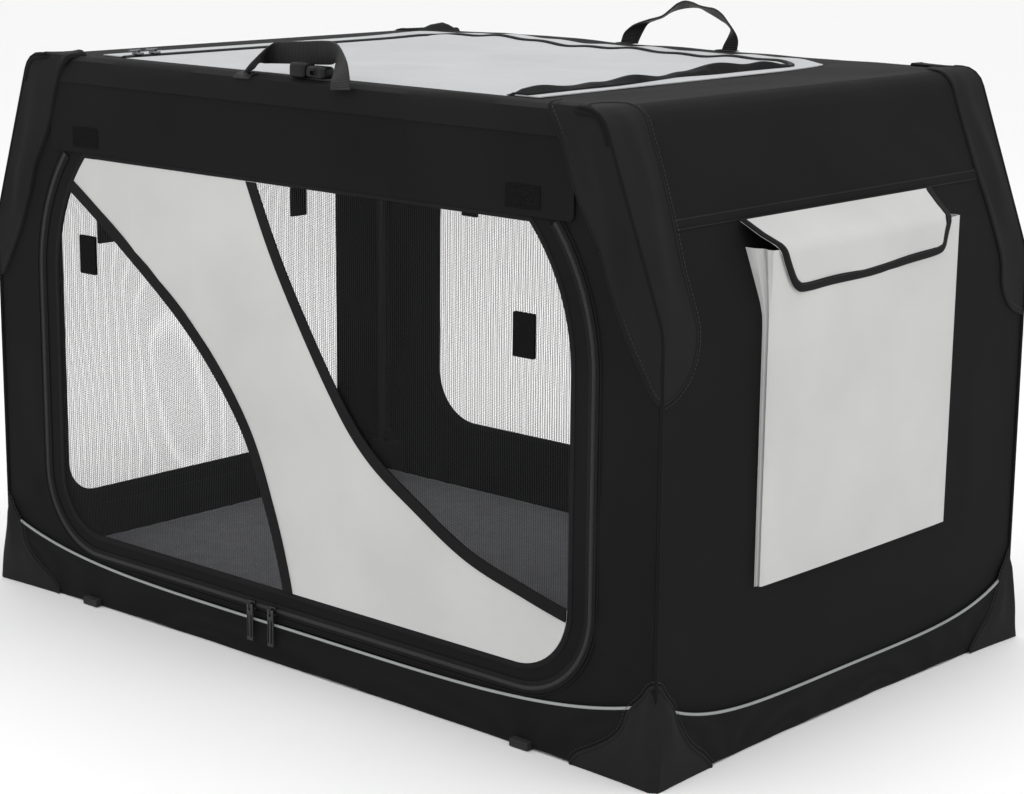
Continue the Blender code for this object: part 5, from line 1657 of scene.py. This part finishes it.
# The back carry handle: the same webbing, standing up as a loose arch over the edge. It
# faces the front at its two feet and lies level, a little twisted, along its top.
back_strap = strap("back_carry_strap", [
    ((-0.0683, 0.2830, 0.5815), (-0.0437, 0.2830, 0.5815)),
    ((-0.0618, 0.2800, 0.5915), (-0.0366, 0.2810, 0.5917)),
    ((-0.0469, 0.2740, 0.5998), (-0.0300, 0.2830, 0.6031)),
    ((-0.0172, 0.2670, 0.6088), (-0.0225, 0.2860, 0.6077)),
    ((0.0028, 0.2665, 0.6142), (-0.0121, 0.2870, 0.6115)),
    ((0.0137, 0.2665, 0.6213), (-0.0010, 0.2870, 0.6175)),
    ((0.0229, 0.2670, 0.6282), (0.0091, 0.2865, 0.6208)),
    ((0.0320, 0.2675, 0.6316), (0.0192, 0.2860, 0.6229)),
    ((0.0435, 0.2670, 0.6308), (0.0299, 0.2865, 0.6243)),
    ((0.0549, 0.2665, 0.6276), (0.0405, 0.2870, 0.6239)),
    ((0.0641, 0.2670, 0.6264), (0.0493, 0.2865, 0.6206)),
    ((0.0736, 0.2670, 0.6255), (0.0576, 0.2865, 0.6173)),
    ((0.0846, 0.2670, 0.6200), (0.0687, 0.2865, 0.6124)),
    ((0.0940, 0.2665, 0.6109), (0.0780, 0.2870, 0.6075)),
    ((0.0978, 0.2680, 0.6057), (0.0826, 0.2865, 0.6030)),
    ((0.0989, 0.2740, 0.5986), (0.0806, 0.2850, 0.5954)),
    ((0.0973, 0.2800, 0.5907), (0.0762, 0.2840, 0.5877)),
    ((0.0941, 0.2830, 0.5815), (0.0738, 0.2830, 0.5815)),
])
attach(back_strap, "handle_back")
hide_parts("back_handle")

# The sewn feet of both handles: the webbing's ends turned down flat on the roof's edge
# and held by a square of stitches.
for side, end, x, y in (
    ("front", "left", -0.0640, -0.2835), ("back", "left", -0.056, 0.2785),
    ("back", "right", 0.084, 0.2785),
):
    foot_pattern = box_pattern(x, over_roof(y), 0.0115, 0.0070, 0.001)
    tab = cloth_mesh(
        f"{side}_strap_foot_{end}", [foot_pattern], roof_line, on_roof, 0.0003, 0.0013, grid=0.006,
    )
    tab.data.materials.append(webbing_look)
    sewn_square = box_pattern(x, over_roof(y), 0.0092, 0.0048, 0.0005)
    rows = stitches("foot_row", sewn_square, roof_line, on_roof, 0.0013, True)
    sewn = joined(f"{side}_strap_foot_{end}", [tab, rows])
    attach(sewn, "base")

# The buckle by the front handle: a moulded socket with a window in each face, and a
# ribbed, rounded plug that slides out of it to the left.
buckle_plastic = moulded(
    "buckle_plastic", (0.0042, 0.0042, 0.0040), rough=0.46, Specular_IOR_Level=0.22,
)
socket_y, roof_top = -0.286, 0.5803


def hard_box(name, low, high, round_edge, segments=3):
    """A moulded block started from a cube, with rounded edges."""
    bpy.ops.object.select_all(action="DESELECT")
    middle = [(a + b) / 2 for a, b in zip(low, high)]
    bpy.ops.mesh.primitive_cube_add(size=1, location=middle)
    made = bpy.context.object
    made.name = name
    made.scale = [b - a for a, b in zip(low, high)]
    bpy.ops.object.transform_apply(location=True, scale=True)
    bpy.ops.object.mode_set(mode="EDIT")
    bpy.ops.mesh.select_all(action="SELECT")
    bpy.ops.mesh.bevel(offset=round_edge, segments=segments, affect="EDGES")
    bpy.ops.object.mode_set(mode="OBJECT")
    return made


def cut_away(obj, cutter):
    """Cuts the cutter's shape out of the piece, and throws the cutter away."""
    use(obj, ("BOOLEAN", {"operation": "DIFFERENCE", "solver": "EXACT", "object": cutter}))
    bpy.data.objects.remove(cutter)


def weld_on(obj, other):
    use(obj, ("BOOLEAN", {"operation": "UNION", "solver": "EXACT", "object": other}))
    bpy.data.objects.remove(other)


socket = hard_box("buckle_socket_shell", (0.0192, socket_y + 0.001, roof_top + 0.0010),
                  (0.0450, socket_y + 0.017, roof_top + 0.0125), 0.0040, 5)
cut_away(socket, hard_box(
    "hollow", (0.0150, socket_y + 0.003, roof_top + 0.003),
    (0.0420, socket_y + 0.015, roof_top + 0.0105), 0.0012, 2,
))
cut_away(socket, hard_box(
    "window", (0.0262, socket_y - 0.004, roof_top + 0.0045),
    (0.0345, socket_y + 0.022, roof_top + 0.0085), 0.0015, 3,
))
for way in (-1, 1):
    waist_y = socket_y + 0.009 + way * 0.0125
    cut_away(socket, hard_box(
        "waist", (0.0300, waist_y - 0.006, roof_top - 0.002),
        (0.0400, waist_y + 0.006, roof_top + 0.016), 0.0030, 4,
    ))
for k in range(3):
    x = 0.0400 + 0.0016 * k
    cut_away(socket, hard_box(
        "groove", (x, socket_y - 0.002, roof_top + 0.0119),
        (x + 0.0008, socket_y + 0.020, roof_top + 0.0145), 0.0002, 1,
    ))
plug = hard_box("buckle_plug_shell", (-0.0030, socket_y + 0.0002, roof_top),
                (0.0187, socket_y + 0.0178, roof_top + 0.0150), 0.0046, 6)
cut_away(plug, hard_box(
    "slot", (0.0000, socket_y + 0.0035, roof_top - 0.002),
    (0.0032, socket_y + 0.0145, roof_top + 0.018), 0.0008, 2,
))
for k in range(3):
    x = 0.0072 + 0.0034 * k
    cut_away(plug, hard_box(
        "grip_groove", (x, socket_y - 0.004, roof_top + 0.0142),
        (x + 0.0012, socket_y + 0.022, roof_top + 0.0180), 0.0004, 2,
    ))
for near, far in ((0.0038, 0.0066), (0.0114, 0.0142)):
    weld_on(plug, hard_box(
        "prong", (0.0170, socket_y + near, roof_top + 0.0045),
        (0.0385, socket_y + far, roof_top + 0.0085), 0.0008, 2,
    ))
for piece, body, node in ((socket, "base", "buckle_socket"), (plug, "plug", "buckle_plug")):
    smooth(piece, 35)
    piece.data.materials.append(buckle_plastic)
    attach(piece, body)
    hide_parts(node)

# The front zip's two sliders: small black-coated castings with a bridge, each with a
# forked pull of soft plastic hooked under the bridge.
coated = moulded(
    "coated_metal", (0.022, 0.022, 0.023), rough=0.32, grain=1500, depth=0.00003, Metallic=0.6,
)
pull_plastic = moulded("pull_plastic", (0.012, 0.012, 0.012), rough=0.42)
tape_out = 0.2918
slider_foot, slider_head = 0.0500, 0.0595
lug_high = (slider_foot + slider_head) / 2
for name, x in (("left", -0.055), ("right", -0.025)):
    slider = hard_box(f"zip_slider_{name}", (x - 0.0045, -tape_out - 0.0025, slider_foot),
                      (x + 0.0045, -tape_out, slider_head), 0.0009)
    for near, far in ((-0.0060, -0.0034), (0.0034, 0.0060)):
        cut_away(slider, hard_box(
            "waist", (x + near, -tape_out - 0.0045, slider_foot + 0.0030),
            (x + far, -tape_out + 0.001, slider_head - 0.0030), 0.0008,
        ))
    bridge = hard_box("bridge", (x - 0.0010, -tape_out - 0.0055, lug_high - 0.0030),
                      (x + 0.0010, -tape_out - 0.0015, lug_high + 0.0030), 0.0006, 3)
    cut_away(bridge, hard_box(
        "eye", (x - 0.003, -tape_out - 0.0043, lug_high - 0.0019),
        (x + 0.003, -tape_out - 0.0026, lug_high + 0.0012), 0.0003, 2,
    ))
    weld_on(slider, bridge)
    smooth(slider, 35)
    slider.data.materials.append(coated)
    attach(slider, f"slider_{name}")
    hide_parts(f"front_slider_{name}")
    pull_y = -tape_out - 0.0047
    head = lug_high + 0.0020
    pull = hard_box(f"zip_pull_{name}", (x - 0.0043, pull_y - 0.0009, head - 0.0380),
                    (x + 0.0043, pull_y + 0.0009, head), 0.0007, 3)
    weld_on(pull, hard_box(
        "rib", (x - 0.0008, pull_y - 0.0015, head - 0.0365),
        (x + 0.0008, pull_y, head - 0.0085), 0.0006, 3,
    ))
    cut_away(pull, hard_box(
        "fork", (x - 0.0014, pull_y - 0.003, head - 0.0070),
        (x + 0.0014, pull_y + 0.003, head + 0.004), 0.0004, 2,
    ))
    for near, far in ((-0.0032, -0.0016), (0.0016, 0.0032)):
        cut_away(pull, hard_box(
            "slit", (x + near, pull_y - 0.003, head - 0.0345),
            (x + far, pull_y + 0.003, head - 0.0110), 0.0005, 2,
        ))
    smooth(pull, 35)
    pull.data.materials.append(pull_plastic)
    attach(pull, f"pull_{name}")
    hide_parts(f"front_pull_{name}")

# The roof zip's two bright sliders on its left run, each with its small drop pull
# lying back on it.
bright = moulded(
    "bright_metal", (0.17, 0.17, 0.18), rough=0.20, grain=1500, depth=0.00002, Metallic=1.0,
)
for name, y in (("inner", -0.214), ("outer", -0.236)):
    x, z = -0.282, 0.5818
    slider = hard_box(f"roof_slider_{name}_casting", (x - 0.0045, y - 0.00475, z),
                      (x + 0.0045, y + 0.00475, z + 0.0025), 0.0009)
    bridge = hard_box("bridge", (x - 0.0010, y - 0.0030, z + 0.0015),
                      (x + 0.0010, y + 0.0030, z + 0.0057), 0.0006, 3)
    cut_away(bridge, hard_box(
        "eye", (x - 0.003, y - 0.0018, z + 0.0027),
        (x + 0.003, y + 0.0018, z + 0.0043), 0.0003, 2,
    ))
    weld_on(slider, bridge)
    drop = hard_box("drop", (x - 0.0105, y - 0.0040, z + 0.0028),
                    (x - 0.0004, y + 0.0040, z + 0.0045), 0.0007, 4)
    cut_away(drop, hard_box(
        "hole", (x - 0.0088, y - 0.0020, z + 0.001),
        (x - 0.0045, y + 0.0020, z + 0.006), 0.0009, 3,
    ))
    weld_on(slider, drop)
    smooth(slider, 35)
    slider.data.materials.append(bright)
    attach(slider, f"roof_slide_{name}")
    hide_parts(f"roof_slider_{name}")

# The piping: a thin grey reflective cord let into the seam above the ground sheet. It
# runs low along each side and rises to the corners, and a strip of black cloth below it
# faces the crate's foot.
piping_look = woven(
    "reflective_piping", (0.36, 0.38, 0.37), (0.22, 0.23, 0.225),
    pitch=0.0008, rough=0.45, lift=0.0001,
)


def piping_high(x, y):
    share = min(1.0, abs(x) / crate_half_length, abs(y) / crate_half_depth)
    return 0.0400 + 0.0365 * share**4.5


facing_out = 0.0016
skirt = bmesh.new()
rounds = []
for share in (0.0, 0.12, 0.3, 0.5, 0.7, 0.85, 1.0):
    ring = []
    for x, y in seen_from_above(
        crate_half_length + facing_out, crate_half_depth + facing_out, 0.0045, 0.008,
    ):
        z = 0.0004 + (piping_high(x, y) - 0.0014) * share
        free = max(0.0, 1 - z / hang_from)
        hang = slack(x, y) * free
        far = Vector((x, y, 0)).normalized() * -0.0014 * (1 - hang) * free
        lift_edge = max(0.0, hang) * 0.002 * (share < 1)
        ring.append(skirt.verts.new(flared(x + far.x, y + far.y, z + lift_edge)))
    rounds.append(ring)
skinned(skirt, rounds)
facing = set_down("foot_facing_cloth", skirt)
use(facing, ("SOLIDIFY", {"thickness": 0.0009, "offset": -1}))
smooth(facing)
facing.data.materials.append(ground_look)
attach(facing, "base")

cord_points = seen_from_above(
    crate_half_length + facing_out, crate_half_depth + facing_out, 0.0020, 0.008,
)
verts, faces, charts = [], [], []
sides = 10
cord_step, cord_side = 0.008, 0.0009
for x, y in cord_points:
    from_corner = crate_half_length - abs(x) + crate_half_depth - abs(y)
    tuck = 0.0034 * math.exp(-(from_corner / 0.011) ** 2)
    x, y = x - math.copysign(tuck, x), y - math.copysign(tuck, y)
    past_end = x if abs(x) > crate_half_length else 0
    past_side = y if abs(y) > crate_half_depth else 0
    outward = Vector((past_end, past_side, 0)).normalized()
    z = piping_high(x, y)
    for k in range(sides):
        angle = math.pi * 2 * k / sides
        at = Vector((x, y, z)) + outward * 0.0014 * math.cos(angle)
        verts.append(flared(at.x, at.y, at.z + 0.0014 * math.sin(angle)))
count = len(cord_points)
for i in range(count):
    j = (i + 1) % count
    for k in range(sides):
        m = (k + 1) % sides
        faces.append((i * sides + k, j * sides + k, j * sides + m, i * sides + m))
        at, up = i * cord_step, k * cord_side
        charts += [(at, up), (at + cord_step, up), (at + cord_step, up + cord_side),
                   (at, up + cord_side)]
cord_piece = made_up("reflective_piping_cord", verts, faces, charts, 60)
cord_piece.data.materials.append(piping_look)
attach(cord_piece, "base")
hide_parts("piping")

# Behind the back wall's foot, between the pins, the ground sheet's rim stands higher.
rim_pattern = [(-0.4524, 0.034), (0.4524, 0.034), (0.4524, 0.0715), (-0.4524, 0.0715)]
rim = cloth_mesh("back_rim_cloth", [rim_pattern], side_line, on_back, 0.0002, 0.0012)
rim.data.materials.append(black_cloth)
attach(rim, "base")

# The corner boots: gathered pieces of tougher cloth below the piping, drawn up at each
# corner, with a bound slanting edge that is stitched down.
boot_look = woven(
    "boot_cloth", (0.0172, 0.0172, 0.0176), (0.0086, 0.0086, 0.0089),
    pitch=0.0012, rough=0.78, lift=0.0003, sheen=0.02,
)
boot_line = corner_arcs([
    (crate_half_length, crate_half_depth - 0.090), (crate_half_length, crate_half_depth),
    (crate_half_length - 0.100, crate_half_depth),
], [0, 0.004, 0], False, 15)
boot_marks = marks_along(boot_line)
boot_corner = float(boot_marks[len(boot_line) // 2])
boot_long = [
    (0.092, 0.0005), (0.083, 0.0113), (0.062, 0.0233), (0.044, 0.0354), (0.0320, 0.0490),
    (0.0275, 0.0615), (0.0210, 0.0700), (0.0100, 0.0805),
]
boot_short = [
    (0.078, 0.0005), (0.065, 0.0134), (0.046, 0.0281), (0.0330, 0.0441), (0.0255, 0.0580),
    (0.0200, 0.0700), (0.0095, 0.0810),
]
for end, way_x in (("left", -1), ("right", 1)):
    for side, way_y in (("front", -1), ("back", 1)):
        def around_corner(u, v, w, way_x=way_x, way_y=way_y):
            return flared(way_x * u, way_y * v, w)

        rising = [(h, boot_corner - d) for d, h in boot_short]
        falling = [(h, boot_corner + d) for d, h in reversed(boot_long)]
        edge = through(rising + [(0.0925, boot_corner)] + falling, 3)

        def gathers(c, s):
            from_corner = s - boot_corner
            fan = np.sin(np.arctan2(from_corner, 0.120 - c) * 19 + way_x * 0.7 + way_y) * 0.5 + 0.5
            pleats = 0.0034 * fan * np.clip((c - 0.012) / 0.045, 0.12, 1)
            belly = 0.0012 * np.exp(-((c - 0.03) / 0.02) ** 2)
            return pleats + belly + 0.0006 * np.exp(-((c - 0.075) / 0.01) ** 2)

        outline = anticlockwise([(0.0, edge[0][1])] + edge + [(0.0, edge[-1][1])])
        boot = cloth_mesh(
            "boot", [outline], boot_line, around_corner, 0.0020, 0.0030, gathers,
            grid=0.006, fade=0.008,
        )
        boot.data.materials.append(boot_look)
        bound = beading(
            "boot_bound", spaced_out(edge, 0.005, False), boot_line, around_corner,
            half_round(0.0, 0.0036, 0.0018, 0.0040),
        )
        bound.data.materials.append(boot_look)
        row_line = spaced_out(moved_out(edge, 0.0042, False), 0.006, False)
        sewn_row = stitches("boot_row", row_line, boot_line, around_corner, 0.0032)
        boot = joined(f"corner_boot_cloth_{side}_{end}", [boot, bound, sewn_row])
        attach(boot, "base")
        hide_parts(f"corner_boot_{side}_{end}")

low, high = cad_box
